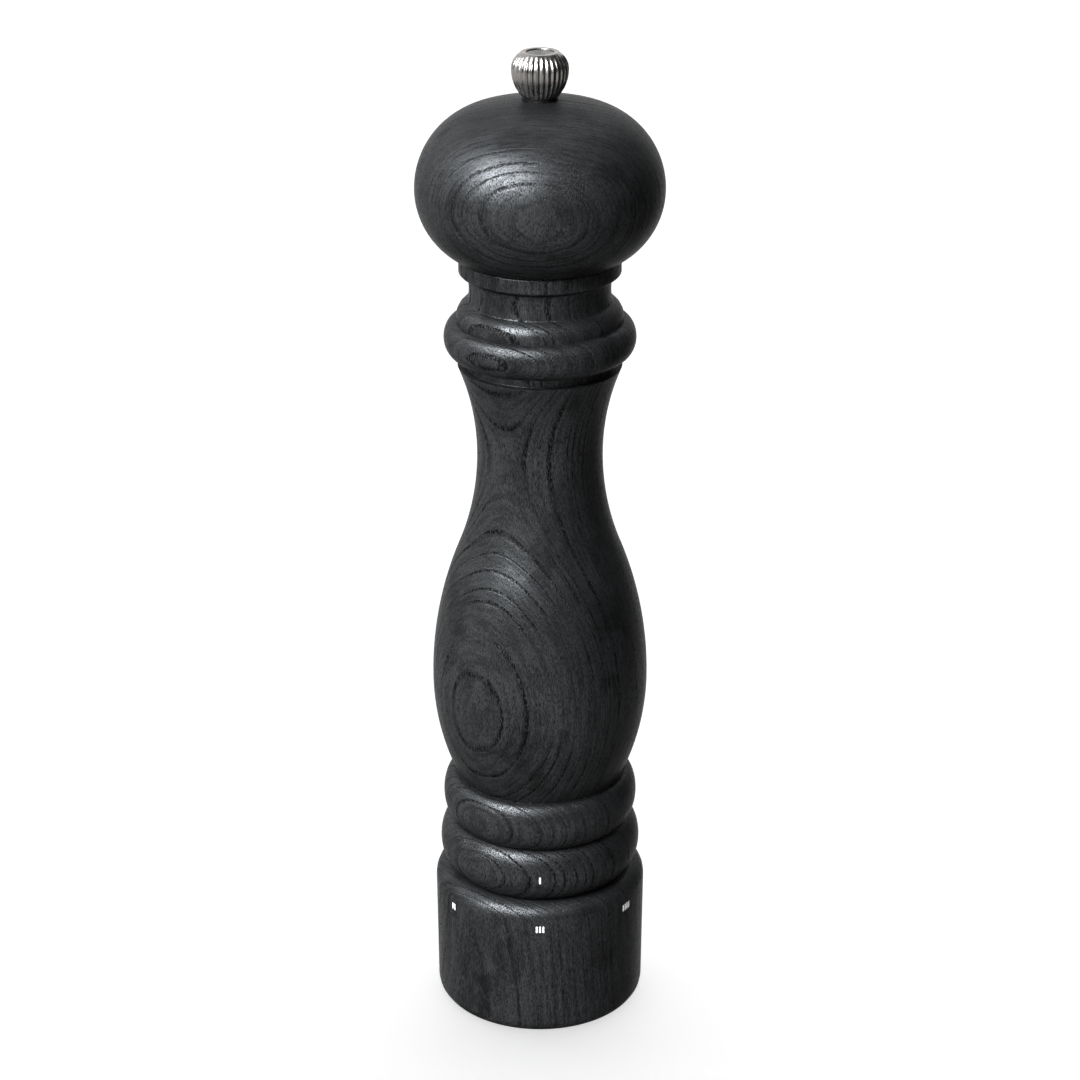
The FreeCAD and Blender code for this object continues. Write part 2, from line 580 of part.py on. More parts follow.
def make_adjusting_ring():
    """The selector ring that the mill stands on, with a blind hole for the click spring."""
    bore = "(nut_radius + glue_gap)"
    body = turned(
        "adjusting_ring", "0",
        (f"{bore} + ring_bore_chamfer", "0"),
        ("ring_foot_radius - ring_foot_round", "0"),
        ("ring_foot_radius", "ring_foot_round", "ring_foot_round", 1),
        ("ring_radius", "ring_height - ring_shoulder"),
        ("ring_radius - ring_shoulder", "ring_height", "ring_shoulder", 1),
        (bore, "ring_height"),
        (bore, "ring_bore_chamfer"))
    cut_radial_hole(body, "detent_hole", "detent_height", "ball_radius + running_gap",
                    "nut_radius / 2", DETENT_FLOOR)


# ---------------------------------------------------------------- mechanism fixed in the body

def make_housing():
    """The moulded housing: a barrel in the wood, a flange, a ledge and a slotted skirt."""
    groove_low = f"{RETAINER_FOOT} - glue_gap - {FLANGE_TOP}"
    groove_high = f"{groove_low} + {RETAINER_GROOVE}"
    body = turned(
        "mechanism_housing", FLANGE_TOP,
        ("ledge_radius", "ledge_rise"),
        ("housing_bore", "ledge_rise"),
        ("housing_bore", f"-{SKIRT_LENGTH}"),
        ("skirt_radius", f"-{SKIRT_LENGTH}"),
        ("skirt_radius", groove_low),
        ("retainer_seat", groove_low),
        ("retainer_seat", groove_high),
        ("skirt_radius", groove_high),
        ("skirt_radius", "-flange_thickness"),
        ("flange_radius", "-flange_thickness"),
        ("flange_radius", "0"),
        ("barrel_radius", "0"),
        ("barrel_radius", "barrel_height"),
        ("housing_bore", "barrel_height"),
        ("housing_bore", LEDGE_TOP),
        ("ledge_radius", LEDGE_TOP))
    slot = new_sketch(body, "arm_slot", "XY_Plane", lift=f"-{SKIRT_LENGTH}")
    half_slot = "(bridge_arm_width / 2 + slot_side_gap)"
    draw_box(slot, "housing_bore - 3 * slot_side_gap", f"-{half_slot}",
             "skirt_radius + 3 * slot_side_gap", half_slot)
    slot_height = f"{BRIDGE_FOOT} + bridge_thickness + slot_headroom - skirt_clearance"
    repeat(body, [push(body, slot, slot_height, cut=True)], "bridge_arm_count")
    seat = cut_circle(body, "screw_seat", "-flange_thickness", "housing_screw_circle",
                      "screw_head_radius + glue_gap", "screw_head_height + glue_gap")
    hole = cut_circle(body, "screw_hole", "-flange_thickness", "housing_screw_circle",
                      "screw_radius + glue_gap", "flange_thickness")
    repeat(body, [seat, hole], "housing_screw_count")
    hole = cut_circle(body, "foot_hole", "ledge_rise", "foot_screw_place",
                      "screw_radius + glue_gap", "ledge_thickness")
    repeat(body, [hole], "2")
    notch = cut_radial_hole(body, "click_notch", f"detent_height - {FLANGE_TOP}", "notch_radius",
                            "(skirt_radius - notch_depth)", "(skirt_radius + notch_depth)")
    repeat(body, [notch], "clicks_up + 1", "clicks_up * click_step")
    repeat(body, [notch], "clicks_down + 1", "clicks_down * click_step", backwards=True)


def make_grinding_ring():
    """The fixed grinding ring: it flares downwards and is slotted into teeth."""
    outer = "(housing_bore - glue_gap)"
    throat = "(stator_height - stator_throat_drop)"
    body = turned(
        "grinding_ring", f"{STATOR_TOP} - stator_height",
        ("stator_exit", "0"),
        (outer, "0"),
        (outer, "stator_height"),
        ("stator_mouth", "stator_height"),
        ("stator_throat", throat),
        ("stator_exit", "stator_exit_height"))
    slot = new_sketch(body, "tooth_slot")
    draw_outline(
        slot,
        ("stator_throat - tooth_depth", throat),
        ("stator_throat - tooth_depth", "0"),
        ("stator_exit + tooth_depth", "0"),
        ("stator_exit + tooth_depth", "stator_exit_height"),
        ("stator_throat + tooth_depth", throat))
    repeat(body, [push(body, slot, "tooth_slot_width", cut=True, both_ways=True)], "stator_teeth")


def make_shaft_bracket():
    """The steel strap over the grinding ring, with inturned feet and a hole for the shaft."""
    inside = "(strap_reach - strap_thickness)"
    under = "(strap_height - strap_thickness)"
    inner_bend = "(strap_bend - strap_thickness)"
    body = new_body("shaft_bracket", BRACKET_FOOT)
    side = new_sketch(body, "strap_side")
    draw_outline(
        side,
        ("foot_reach", "0"),
        ("strap_reach", "0"),
        ("strap_reach", "strap_height - strap_bend"),
        ("strap_reach - strap_bend", "strap_height", "strap_bend", 1),
        ("strap_bend - strap_reach", "strap_height"),
        ("-strap_reach", "strap_height - strap_bend", "strap_bend", 1),
        ("-strap_reach", "0"),
        ("-foot_reach", "0"),
        ("-foot_reach", "strap_thickness"),
        (f"-{inside}", "strap_thickness"),
        (f"-{inside}", f"{under} - {inner_bend}"),
        (f"{inner_bend} - {inside}", under, inner_bend, -1),
        (f"{inside} - {inner_bend}", under),
        (inside, f"{under} - {inner_bend}", inner_bend, -1),
        (inside, "strap_thickness"),
        ("foot_reach", "strap_thickness"))
    push(body, side, "strap_width", both_ways=True)
    cut_circle(body, "shaft_hole", under, "0", "shaft_bore_radius", "strap_thickness")
    hole = cut_circle(body, "foot_hole", "0", "foot_screw_place", "screw_radius + glue_gap",
                      "strap_thickness")
    repeat(body, [hole], "2")


def make_retaining_rings():
    """The open spring rings that hold the nut on the skirt and the shaft on its bracket."""
    body = tube("ring_retainer", RETAINER_FOOT, "retainer_seat + glue_gap", "retainer_radius",
                "retainer_thickness")
    cut_opening(body, "retainer_gap", "retainer_opening", "retainer_radius + 1",
                "retainer_thickness")
    body = tube("shaft_circlip", CIRCLIP_FOOT, "groove_depth_radius + glue_gap",
                "circlip_radius", "circlip_thickness")
    cut_opening(body, "circlip_gap", "circlip_opening", "circlip_radius + 1",
                "circlip_thickness")


# ---------------------------------------------------------------- shaft, cone and bridge

def make_drive_shaft():
    """The square shaft with its threaded end and the groove for its retaining ring."""
    body = new_body("drive_shaft", SHAFT_FOOT)
    square = new_sketch(body, "square", "XY_Plane")
    draw_centred_box(square, "shaft_width", "shaft_width")
    push(body, square, f"{SHOULDER} - {SHAFT_FOOT}")
    thread = new_sketch(body, "threaded_end")
    base = f"({SHOULDER} - {SHAFT_FOOT} - thread_radius)"
    draw_outline(
        thread,
        ("0", base),
        ("thread_radius", base),
        ("thread_radius", f"{SHAFT_LENGTH} - edge_round"),
        ("thread_radius - edge_round", SHAFT_LENGTH),
        ("0", SHAFT_LENGTH))
    spin(body, thread)
    groove = new_sketch(body, "ring_groove")
    low = f"{CIRCLIP_FOOT} - glue_gap - {SHAFT_FOOT}"
    draw_box(groove, "groove_depth_radius", low, "shaft_width",
             f"{low} + circlip_thickness + 2 * glue_gap")
    spin(body, groove, cut=True)


def make_grinding_cone():
    """The turning cone: a fine taper below, feed grooves above and a square hole."""
    taper = ("((stator_exit - stator_throat)"
             " / (stator_height - stator_throat_drop - stator_exit_height))")
    foot_radius = "(stator_exit - grinding_gap)"
    taper_foot = "(cone_sunk + stator_exit_height)"
    taper_top = f"({taper_foot} + cone_fine_rise)"
    middle_radius = f"({foot_radius} - cone_fine_rise * {taper})"
    body = turned(
        "grinding_cone", CONE_FOOT,
        ("0", "0"),
        (foot_radius, "0"),
        (foot_radius, taper_foot),
        (middle_radius, taper_top),
        ("cone_nose", "cone_height"),
        ("0", "cone_height"))
    slot = new_sketch(body, "fine_slot")
    draw_outline(
        slot,
        (f"{foot_radius} - tooth_depth", "0"),
        (f"{foot_radius} + tooth_depth", "0"),
        (f"{foot_radius} + tooth_depth", taper_top),
        (f"{middle_radius} - tooth_depth", taper_top),
        (f"{foot_radius} - tooth_depth", taper_foot))
    repeat(body, [push(body, slot, "tooth_slot_width", cut=True, both_ways=True)], "cone_teeth")
    feed = new_sketch(body, "feed_groove")
    draw_outline(
        feed,
        (f"{middle_radius} - feed_depth", taper_top),
        (middle_radius, taper_top),
        (middle_radius, "cone_height"),
        ("cone_nose - feed_depth / 2", "cone_height"))
    repeat(body, [push(body, feed, "feed_width", cut=True, both_ways=True)], "feed_teeth")
    square = new_sketch(body, "square_hole", "XY_Plane")
    hole_width = "(shaft_width + 2 * running_gap)"
    draw_centred_box(square, hole_width, hole_width)
    push(body, square, "cone_height", cut=True)


def make_bridge():
    """The bridge under the cone: its arms reach through the skirt into the nut's thread."""
    half = "(bridge_arm_width / 2)"
    tip = f"sqrt({ARM_REACH} ^ 2 - {half} ^ 2)"
    body = tube("rotor_bridge", BRIDGE_FOOT, "thrust_bore", "bridge_hub_radius",
                "bridge_thickness")
    arm = new_sketch(body, "arm", "XY_Plane")
    draw_outline(
        arm,
        ("(thrust_bore + bridge_hub_radius) / 2", f"-{half}"),
        (tip, f"-{half}"),
        (tip, half, ARM_REACH, 1),
        ("(thrust_bore + bridge_hub_radius) / 2", half))
    repeat(body, [push(body, arm, "bridge_thickness")], "bridge_arm_count")


def make_adjusting_nut():
    """The moulded nut glued in the selector ring; it runs on the skirt."""
    body = turned(
        "adjusting_nut", "nut_clearance",
        ("nut_thread_radius", "0"),
        ("nut_radius", "0"),
        ("nut_radius", NUT_HEIGHT),
        (NUT_BORE, NUT_HEIGHT),
        (NUT_BORE, "nut_thread_height"),
        ("nut_thread_radius", "nut_thread_height"))
    cut_radial_hole(body, "ball_hole", "detent_height - nut_clearance",
                    "ball_radius + running_gap", "nut_radius / 2", "nut_radius + running_gap")


def make_coil(body, name, coil_radius, wire, height, turns):
    """Winds a round wire into a coil whose ends lie flush with its two end planes."""
    section = new_sketch(body, name)
    draw_circle(section, coil_radius, wire, wire)
    coil = body.newObject("PartDesign::AdditiveHelix", name + "_coil")
    coil.Profile = section
    coil.ReferenceAxis = (section, ["V_Axis"])
    coil.Mode = "height-turns-angle"
    coil.setExpression("Height", bound(f"{height} - 2 * {wire}"))
    coil.setExpression("Turns", bound(turns))
    doc.recompute()


def make_springs():
    """The grinder spring round the shaft, and the click spring that lies along +X."""
    seat = f"({CONE_TOP} + glue_gap)"
    body = new_body("grinder_spring", seat)
    make_coil(body, "grinder_wire", "spring_radius", "spring_wire",
              f"{BRACKET_TOP} - strap_thickness - glue_gap - {seat}", "spring_turns")
    body = new_body("detent_spring", "detent_height")
    body.Placement.Rotation = FreeCAD.Rotation(V(0, 1, 0), 90)
    body.setExpression("Placement.Base.x", bound(f"{BALL_PLACE} + ball_radius + glue_gap"))
    make_coil(body, "detent_coil", "(ball_radius - detent_wire)", "detent_wire",
              "detent_spring_length", "detent_spring_turns")


def make_detent_ball():
    """The ball, pressed back clear of the notches so that the ring is free to turn."""
    ball = doc.addObject("Part::Sphere", "detent_ball")
    ball.Label = "detent_ball"
    ball.setExpression("Radius", bound("ball_radius"))
    ball.setExpression("Placement.Base.x", bound(BALL_PLACE))
    ball.setExpression("Placement.Base.z", bound("detent_height"))


# ---------------------------------------------------------------- head plate and knob

def make_drive_plate():
    """The steel plate under the head whose square hole the shaft drives."""
    plate_foot = f"({HEAD_FOOT} - spigot_depth - glue_gap - plate_thickness)"
    body = turned(
        "head_drive_plate", plate_foot,
        ("0", "0"),
        ("plate_radius", "0"),
        ("plate_radius", "plate_thickness"),
        ("0", "plate_thickness"))
    square = new_sketch(body, "square_hole", "XY_Plane")
    hole_width = "(shaft_width + 2 * sliding_gap)"
    draw_centred_box(square, hole_width, hole_width)
    push(body, square, "plate_thickness", cut=True)
    hole = cut_circle(body, "screw_hole", "0", "plate_screw_circle", "screw_radius + glue_gap",
                      "plate_thickness")
    repeat(body, [hole], "plate_screw_count")
    make_screws("drive_plate_screws", f"{plate_foot} - glue_gap - screw_head_height",
                "plate_screw_circle", "plate_screw_count", "plate_screw_length")


def cut_flute(body, name, curve, sweep, upwards):
    """Runs a round cutter along one of the knob's two side curves."""
    sketch = new_sketch(body, name, "XY_Plane", lift="knob_lower_rise")
    draw_circle(sketch, "knob_radius + flute_radius - flute_depth", "0", "flute_radius")
    centre = f"(knob_radius - {curve})"
    axis = sketch.addGeometry(Part.LineSegment(V(value(centre), -1, 0), V(value(centre), 1, 0)),
                              True)
    tie_point(sketch, axis, 1, centre, "-flute_radius", "axis_start")
    tie_point(sketch, axis, 2, centre, "flute_radius", "axis_end")
    flute = body.newObject("PartDesign::Groove", name + "_swept")
    flute.Profile = sketch
    flute.ReferenceAxis = (sketch, ["Axis0"])
    flute.Angle = sweep
    flute.Reversed = upwards
    doc.recompute()
    return flute


def make_knob():
    """The fluted knob with its threaded bore, its washer and the disc set in its top."""
    bore = "(thread_radius + running_gap)"
    lean = "knob_radius - knob_foot_radius"
    curl = "knob_radius - knob_rim_radius"
    lower_curve = f"({arc_radius('knob_lower_rise', lean)})"
    upper_curve = f"({arc_radius('knob_upper_rise', curl)})"
    rim = f"{KNOB_HEIGHT} - knob_bevel"
    well = f"{KNOB_HEIGHT} - disc_sink - disc_thickness - glue_gap"
    body = turned(
        "top_knob", KNOB_FOOT,
        (bore, "0"),
        ("knob_foot_radius", "0"),
        ("knob_radius", "knob_lower_rise", lower_curve, 1),
        ("knob_rim_radius", rim, upper_curve, 1),
        ("knob_rim_radius - knob_bevel", KNOB_HEIGHT),
        ("disc_radius + glue_gap", KNOB_HEIGHT),
        ("disc_radius + glue_gap", well),
        ("0", well),
        ("0", "knob_bore_depth"),
        (bore, "knob_bore_depth"))
    lower = cut_flute(body, "lower_flute", lower_curve, LOWER_FLUTE_SWEEP, upwards=False)
    upper = cut_flute(body, "upper_flute", upper_curve, UPPER_FLUTE_SWEEP, upwards=True)
    repeat(body, [lower, upper], "flute_count")
    turned("knob_disc", f"{KNOB_FOOT} + {KNOB_HEIGHT} - disc_sink - disc_thickness",
           ("0", "0"), ("disc_radius", "0"), ("disc_radius", "disc_thickness"),
           ("0", "disc_thickness"))
    tube("knob_washer", f"{SEAT} + glue_gap", bore, "knob_washer_radius", "knob_washer_height")


# ---------------------------------------------------------------- the whole mill

make_turned_body()
make_head()
make_adjusting_ring()
make_housing()
make_screws("housing_screws", f"{FLANGE_TOP} - flange_thickness", "housing_screw_circle",
            "housing_screw_count", "housing_screw_length - screw_head_height - glue_gap")
make_grinding_ring()
make_shaft_bracket()
make_screws("bracket_screws", f"{BRACKET_FOOT} + strap_thickness + glue_gap", "foot_screw_place",
            "2", "short_screw_length", upwards=False)
make_retaining_rings()
tube("shaft_washer", WASHER_FOOT, "shaft_width / sqrt(2) + running_gap", "washer_radius",
     "washer_thickness")
make_drive_shaft()
make_grinding_cone()
tube("thrust_washer", THRUST_FOOT, "thrust_bore", "thrust_radius", "thrust_thickness")
make_bridge()
make_adjusting_nut()
make_springs()
make_detent_ball()
make_drive_plate()
make_knob()
doc.recompute()

failed = [item.Label for item in doc.Objects if {"Invalid", "Error"} & set(item.State)]
if failed:
    raise SystemExit("these did not build: " + ", ".join(failed))
sub_parts = doc.findObjects("PartDesign::Body") + doc.findObjects("Part::Sphere")
for part in sub_parts:
    if part.Shape.isNull() or not part.Shape.isValid() or not part.Shape.Solids:
        raise SystemExit(part.Label + " has no valid solid")
for part in sub_parts:
    part.Shape.exportStep("parts/" + part.Label + ".step")
    print("%-20s %d solid(s) %10.1f mm3" % (part.Label, len(part.Shape.Solids),
                                           part.Shape.Volume))
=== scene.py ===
# %% [markdown]
# # A turned wooden pepper mill
#
# The mill is three pieces of open-grained wood, stained almost black and turned on a lathe: a
# ball-shaped head, a waisted body and a ring at the base that sets the grind. A small fluted
# metal knob holds the head down. The packed model already holds the mechanism, so this lesson
# loads it as a fixed frame, makes better surfaces for what shows, and gives every part a finish.

import math

import bpy
import numpy as np
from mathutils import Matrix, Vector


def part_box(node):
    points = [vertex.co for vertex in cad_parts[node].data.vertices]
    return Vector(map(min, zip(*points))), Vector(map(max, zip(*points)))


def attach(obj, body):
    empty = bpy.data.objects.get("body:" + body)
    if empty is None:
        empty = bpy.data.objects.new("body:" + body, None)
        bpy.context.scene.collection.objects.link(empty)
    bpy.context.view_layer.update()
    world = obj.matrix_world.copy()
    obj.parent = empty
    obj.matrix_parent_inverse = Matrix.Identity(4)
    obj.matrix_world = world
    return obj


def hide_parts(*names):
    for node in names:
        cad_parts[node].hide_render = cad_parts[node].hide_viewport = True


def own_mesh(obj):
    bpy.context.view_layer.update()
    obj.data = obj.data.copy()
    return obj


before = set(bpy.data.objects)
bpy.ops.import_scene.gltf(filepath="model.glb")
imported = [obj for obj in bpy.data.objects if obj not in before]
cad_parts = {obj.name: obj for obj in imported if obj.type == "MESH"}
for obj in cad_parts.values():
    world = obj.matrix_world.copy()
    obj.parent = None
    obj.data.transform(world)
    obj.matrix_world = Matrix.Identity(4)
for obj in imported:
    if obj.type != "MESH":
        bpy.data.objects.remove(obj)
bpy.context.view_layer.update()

# %% [markdown]
# A product picture needs a camera, a pale floor and soft light. The camera looks along +Y and
# about 23 degrees down. Its lens is long, so the mill's upright sides stay nearly upright. The
# picture is square, and the camera has no shift and no depth of field.

# %% Camera
CAMERA_BACK = 0.7354
CAMERA_HEIGHT = 0.4684
CAMERA_DOWN = math.radians(23.226)
CAMERA_LENS = 89.38

camera = bpy.data.objects.new("camera", bpy.data.cameras.new("camera"))
bpy.context.scene.collection.objects.link(camera)
camera.location = (0, -CAMERA_BACK, CAMERA_HEIGHT)
camera.rotation_euler = (math.pi / 2 - CAMERA_DOWN, 0, 0)
camera.data.sensor_width = 36
camera.data.lens = CAMERA_LENS
camera.data.clip_start = 0.01
bpy.context.scene.camera = camera
bpy.context.scene.view_settings.view_transform = "Standard"
print("camera", tuple(round(value, 3) for value in camera.location), "lens", CAMERA_LENS)

# %% [markdown]
# Dark satin wood shows its surroundings more than its own colour, so the lights matter as much
# as the stain. One large soft box hangs in front, high on the left, and makes the bright patches
# on the head, the belly and the beads. It could be placed by coordinates, but two angles and a
# distance say more plainly where it hangs. A second helper then aims it at the mill.

# %% The key light
MILL_MIDDLE = (0, 0, 0.16)


def aim(item, target):
    """Turns an object so that its own -Z axis points at the target."""
    direction = np.array(target, float) - np.array(item.location)
    yaw = math.atan2(-direction[0], direction[1])
    pitch = math.atan2(math.hypot(direction[0], direction[1]), -direction[2])
    item.rotation_euler = (pitch, 0, yaw)


def soft_box(name, azimuth, elevation, distance, size, watts, colour=(1, 1, 1)):
    """A rectangular area light, placed by two angles seen from the middle of the mill.

    Azimuth 0 is the viewer's side and grows towards +X; both angles are in degrees."""
    swing, rise = math.radians(azimuth), math.radians(elevation)
    offset = np.array([math.sin(swing) * math.cos(rise), -math.cos(swing) * math.cos(rise),
                       math.sin(rise)])
    lamp = bpy.data.objects.new(name, bpy.data.lights.new(name, "AREA"))
    bpy.context.scene.collection.objects.link(lamp)
    lamp.location = np.array(MILL_MIDDLE) + offset * distance
    lamp.data.shape = "RECTANGLE"
    lamp.data.size, lamp.data.size_y = size
    lamp.data.energy = watts
    lamp.data.color = colour
    aim(lamp, MILL_MIDDLE)
    return lamp


key_light = soft_box("key_light", -42, 42, 1.3, (0.85, 0.75), 74, (0.95, 0.975, 1.0))
print("key light at", tuple(round(value, 3) for value in key_light.location))

# %% [markdown]
# The rest of the light comes from the sky and from the table. The sky could be one flat colour,
# but dark wood needs something to reflect. A few smooth steps paint it: white behind the mill,
# dim on the left, nearly black towards the viewer, and below the horizon as bright as a white
# table, but dimmer on the right and straight down.

# %% The painted sky
WHITE_WALL, BLACK_WALL, LEFT_WALL = 1.2, 0.02, 0.25
LOW_FRONT, LOW_RIGHT = 1.0, 0.15

world = bpy.data.worlds.new("studio")
bpy.context.scene.world = world
world.use_nodes = True
sky = world.node_tree
coordinate = sky.nodes.new("ShaderNodeTexCoord")
split = sky.nodes.new("ShaderNodeSeparateXYZ")
sky.links.new(coordinate.outputs["Generated"], split.inputs["Vector"])


def sky_step(axis, start, end, low, high):
    """Brightness that goes smoothly from low to high as one coordinate of the direction grows."""
    step = sky.nodes.new("ShaderNodeMapRange")
    step.interpolation_type = "SMOOTHSTEP"
    for name, value in (("From Min", start), ("From Max", end), ("To Min", low),
                        ("To Max", high)):
        step.inputs[name].default_value = value
    sky.links.new(split.outputs[axis], step.inputs["Value"])
    return step.outputs["Result"]


def sky_math(operation, first, second):
    """One arithmetic step on two brightnesses."""
    item = sky.nodes.new("ShaderNodeMath")
    item.operation = operation
    sky.links.new(first, item.inputs[0])
    sky.links.new(second, item.inputs[1])
    return item.outputs[0]


wall = sky_math("MULTIPLY", sky_step("Y", -0.1, 0.5, BLACK_WALL, WHITE_WALL),
                sky_step("Z", -0.2, 0.0, 0.25, 1.0))
left = sky_step("X", -0.95, -0.2, LEFT_WALL, 0.0)
low = sky_math("MULTIPLY", sky_step("X", 0.3, 0.9, LOW_FRONT, LOW_RIGHT),
               sky_step("Z", -0.14, -0.02, 1.0, 0.0))
low = sky_math("MULTIPLY", low, sky_step("Z", -0.8, -0.4, 0.3, 1.0))
sky.links.new(sky_math("MAXIMUM", sky_math("ADD", wall, left), low),
              sky.nodes["Background"].inputs["Strength"])
sky.nodes["Background"].inputs["Color"].default_value = (1, 1, 1, 1)
print("the sky is painted by", len(sky.nodes), "nodes")

# %% [markdown]
# The table could be a plain plane, but then its far edge shows in level views. Here its edge
# curves up into a wall all round, and it glows a little, so the ground is white from any side.
# It is left out of reflections, where the painted sky stands for it and can be made darker at
# one side. A black panel on the right deepens that side, as a studio does with a cloth; it acts
# on reflections only.

# %% The table and the black flag
TABLE_GLOW = 0.6


def sweep_table(name, flat_reach, bend, segments=96, steps=24):
    """A round table whose edge curves up into a wall, so that no horizon shows.

    radius = flat reach + bend * sin(t), height = bend * (1 - cos(t)), t from 0 to 90 degrees."""
    angle = np.linspace(0, 2 * math.pi, segments, endpoint=False)
    t = np.linspace(0, math.pi / 2, steps)
    radius, height = flat_reach + bend * np.sin(t), bend * (1 - np.cos(t))
    rows = [np.outer(radius, np.cos(angle)), np.outer(radius, np.sin(angle)),
            np.repeat(height[:, None], segments, 1)]
    corner = np.arange(steps * segments).reshape(steps, segments)
    beside = np.roll(corner, -1, 1)
    faces = np.stack([corner[:-1], corner[1:], beside[1:], beside[:-1]], 2).reshape(-1, 4)
    mesh = bpy.data.meshes.new(name)
    mesh.from_pydata(np.stack(rows, 2).reshape(-1, 3), [], [corner[0].tolist()] + faces.tolist())
    mesh.shade_smooth()
    table = bpy.data.objects.new(name, mesh)
    bpy.context.scene.collection.objects.link(table)
    return table


floor = sweep_table("floor", 5, 4)
floor.visible_glossy = False
table_top = bpy.data.materials.new("lit_table")
floor.data.materials.append(table_top)
table_top.use_nodes = True
table_shader = table_top.node_tree.nodes["Principled BSDF"]
table_shader.inputs["Base Color"].default_value = (0.8, 0.8, 0.8, 1)
table_shader.inputs["Roughness"].default_value = 0.6
table_shader.inputs["Emission Color"].default_value = (1, 1, 1, 1)
table_shader.inputs["Emission Strength"].default_value = TABLE_GLOW


def black_flag(name, corners):
    """A black cloth panel that darkens one side of the reflections; the camera doesn't see it."""
    mesh = bpy.data.meshes.new(name)
    mesh.from_pydata(corners, [], [[0, 1, 2, 3]])
    cloth = bpy.data.materials.new(name)
    cloth.use_nodes = True
    cloth.node_tree.nodes["Principled BSDF"].inputs["Base Color"].default_value = (0, 0, 0, 1)
    cloth.node_tree.nodes["Principled BSDF"].inputs["Roughness"].default_value = 1
    mesh.materials.append(cloth)
    flag = bpy.data.objects.new(name, mesh)
    flag.visible_camera = flag.visible_diffuse = flag.visible_shadow = False
    bpy.context.scene.collection.objects.link(flag)
    return flag


side_flag = black_flag("side_flag", [(0.26, -0.55, 0.002), (0.34, 0.35, 0.002),
                                     (0.34, 0.35, 0.8), (0.26, -0.55, 0.8)])

# the key light skips the table, so the mill throws no hard shadow on it
off_the_key_light = bpy.data.collections.new("off_the_key_light")
off_the_key_light.objects.link(floor)
key_light.light_linking.receiver_collection = off_the_key_light
off_the_key_light.collection_objects[0].light_linking.link_state = "EXCLUDE"
print("stage:", floor.name, "and", side_flag.name, "- the key light skips the table")

# %% [markdown]
# A material is a small network of nodes. Writing one step at a time with short helpers keeps the
# recipe readable: a noise here, a sum there, and at the end one shader that takes the results.
# Everything that varies over the surface is worked out from Object coordinates, so the pattern
# stays fixed in the wood however the part is turned.

# %% A notebook for material recipes
class Recipe:
    """A material's node network, written step by step."""

    def __init__(self, name):
        self.material = bpy.data.materials.new(name)
        self.material.use_nodes = True
        self.tree = self.material.node_tree
        self.shader = self.tree.nodes["Principled BSDF"]

    def step(self, kind, settings=None, **inputs):
        """Adds a node; an input is a number, a vector or another node's output."""
        item = self.tree.nodes.new(kind)
        for name, value in (settings or {}).items():
            setattr(item, name, value)
        for name, value in inputs.items():
            self.feed(item.inputs[name.replace("_", " ")], value)
        return item

    def feed(self, socket, value):
        """Links an output to a socket, or sets the socket's own value."""
        if isinstance(value, bpy.types.NodeSocket):
            self.tree.links.new(value, socket)
        else:
            socket.default_value = value

    def sum(self, operation, *values):
        """One arithmetic step on numbers."""
        item = self.tree.nodes.new("ShaderNodeMath")
        item.operation = operation
        for socket, value in zip(item.inputs, values):
            self.feed(socket, value)
        return item.outputs[0]

    def vector(self, operation, *values, result=0):
        """One arithmetic step on vectors."""
        item = self.tree.nodes.new("ShaderNodeVectorMath")
        item.operation = operation
        for socket, value in zip(item.inputs, values):
            self.feed(socket, value)
        return item.outputs[result]

    def place(self, scale=(1, 1, 1), turn=(0, 0, 0), shift=(0, 0, 0), source=None):
        """Object coordinates, or another vector, scaled, turned and shifted."""
        source = source or self.step("ShaderNodeTexCoord").outputs["Object"]
        item = self.step("ShaderNodeMapping", Vector=source, Scale=scale, Rotation=turn,
                         Location=shift)
        return item.outputs[0]

    def noise(self, vector, scale=1.0, detail=2.0, roughness=0.5):
        """Smooth random values from 0 to 1."""
        item = self.step("ShaderNodeTexNoise", Vector=vector, Scale=scale, Detail=detail,
                         Roughness=roughness)
        return item.outputs[0]

    def fade(self, value, start, end, low=0.0, high=1.0):
        """A smooth step: low below start, high above end."""
        item = self.step("ShaderNodeMapRange", {"interpolation_type": "SMOOTHSTEP"},
                         Value=value, From_Min=start, From_Max=end, To_Min=low, To_Max=high)
        return item.outputs[0]

    def blend(self, share, first, second):
        """Mixes two colours, first at 0 and second at 1."""
        item = self.tree.nodes.new("ShaderNodeMix")
        item.data_type = "RGBA"
        self.feed(item.inputs[0], share)
        self.feed(item.inputs[6], first)
        self.feed(item.inputs[7], second)
        return item.outputs[2]

    def relief(self, height, millimetres):
        """Bumps the surface by a height from 0 to 1 times the given size."""
        item = self.step("ShaderNodeBump", Height=height, Distance=millimetres / 1000)
        self.feed(self.shader.inputs["Normal"], item.outputs[0])

    def finish(self, **inputs):
        """Feeds the shader and returns the material."""
        for name, value in inputs.items():
            self.feed(self.shader.inputs[name.replace("_", " ")], value)
        return self.material


def grey(level, warmth=0.0):
    """An almost neutral colour; a positive warmth reddens it."""
    return (level * (1 + warmth), level, level * (1 - warmth), 1)


print("recipe steps:", [name for name in vars(Recipe) if not name.startswith("_")])

# %% [markdown]
# Wood is built of growth rings, which are long tubes round the pith of the tree. A blank is cut
# to one side of the pith, so a ball or a belly turned from it cuts through the tubes and shows
# nested loops, with straighter lines at its sides. The recipe does the same: it measures the
# distance from a slightly leaning pith line, divides it by the ring's width and keeps the
# fraction, which runs from 0 at the start of a ring to 1 at its end. In ash and oak the first
# part of each ring has open pores, which take most of the stain. They show as dark dashes that
# run along the grain. Finer streaks follow the rings between the dark lines, and very fine
# fibres and small pores cover everything.
#
# The satin lacquer could be a clear coat over a dark colour, but then the highlights hide the
# grain. On the real wood they are broken up by it, because only the wood between the pores
# shines. A high Metallic does that: it tints each reflection by the colour under it. Specular
# Tint keeps the reflections at the edges from turning white.

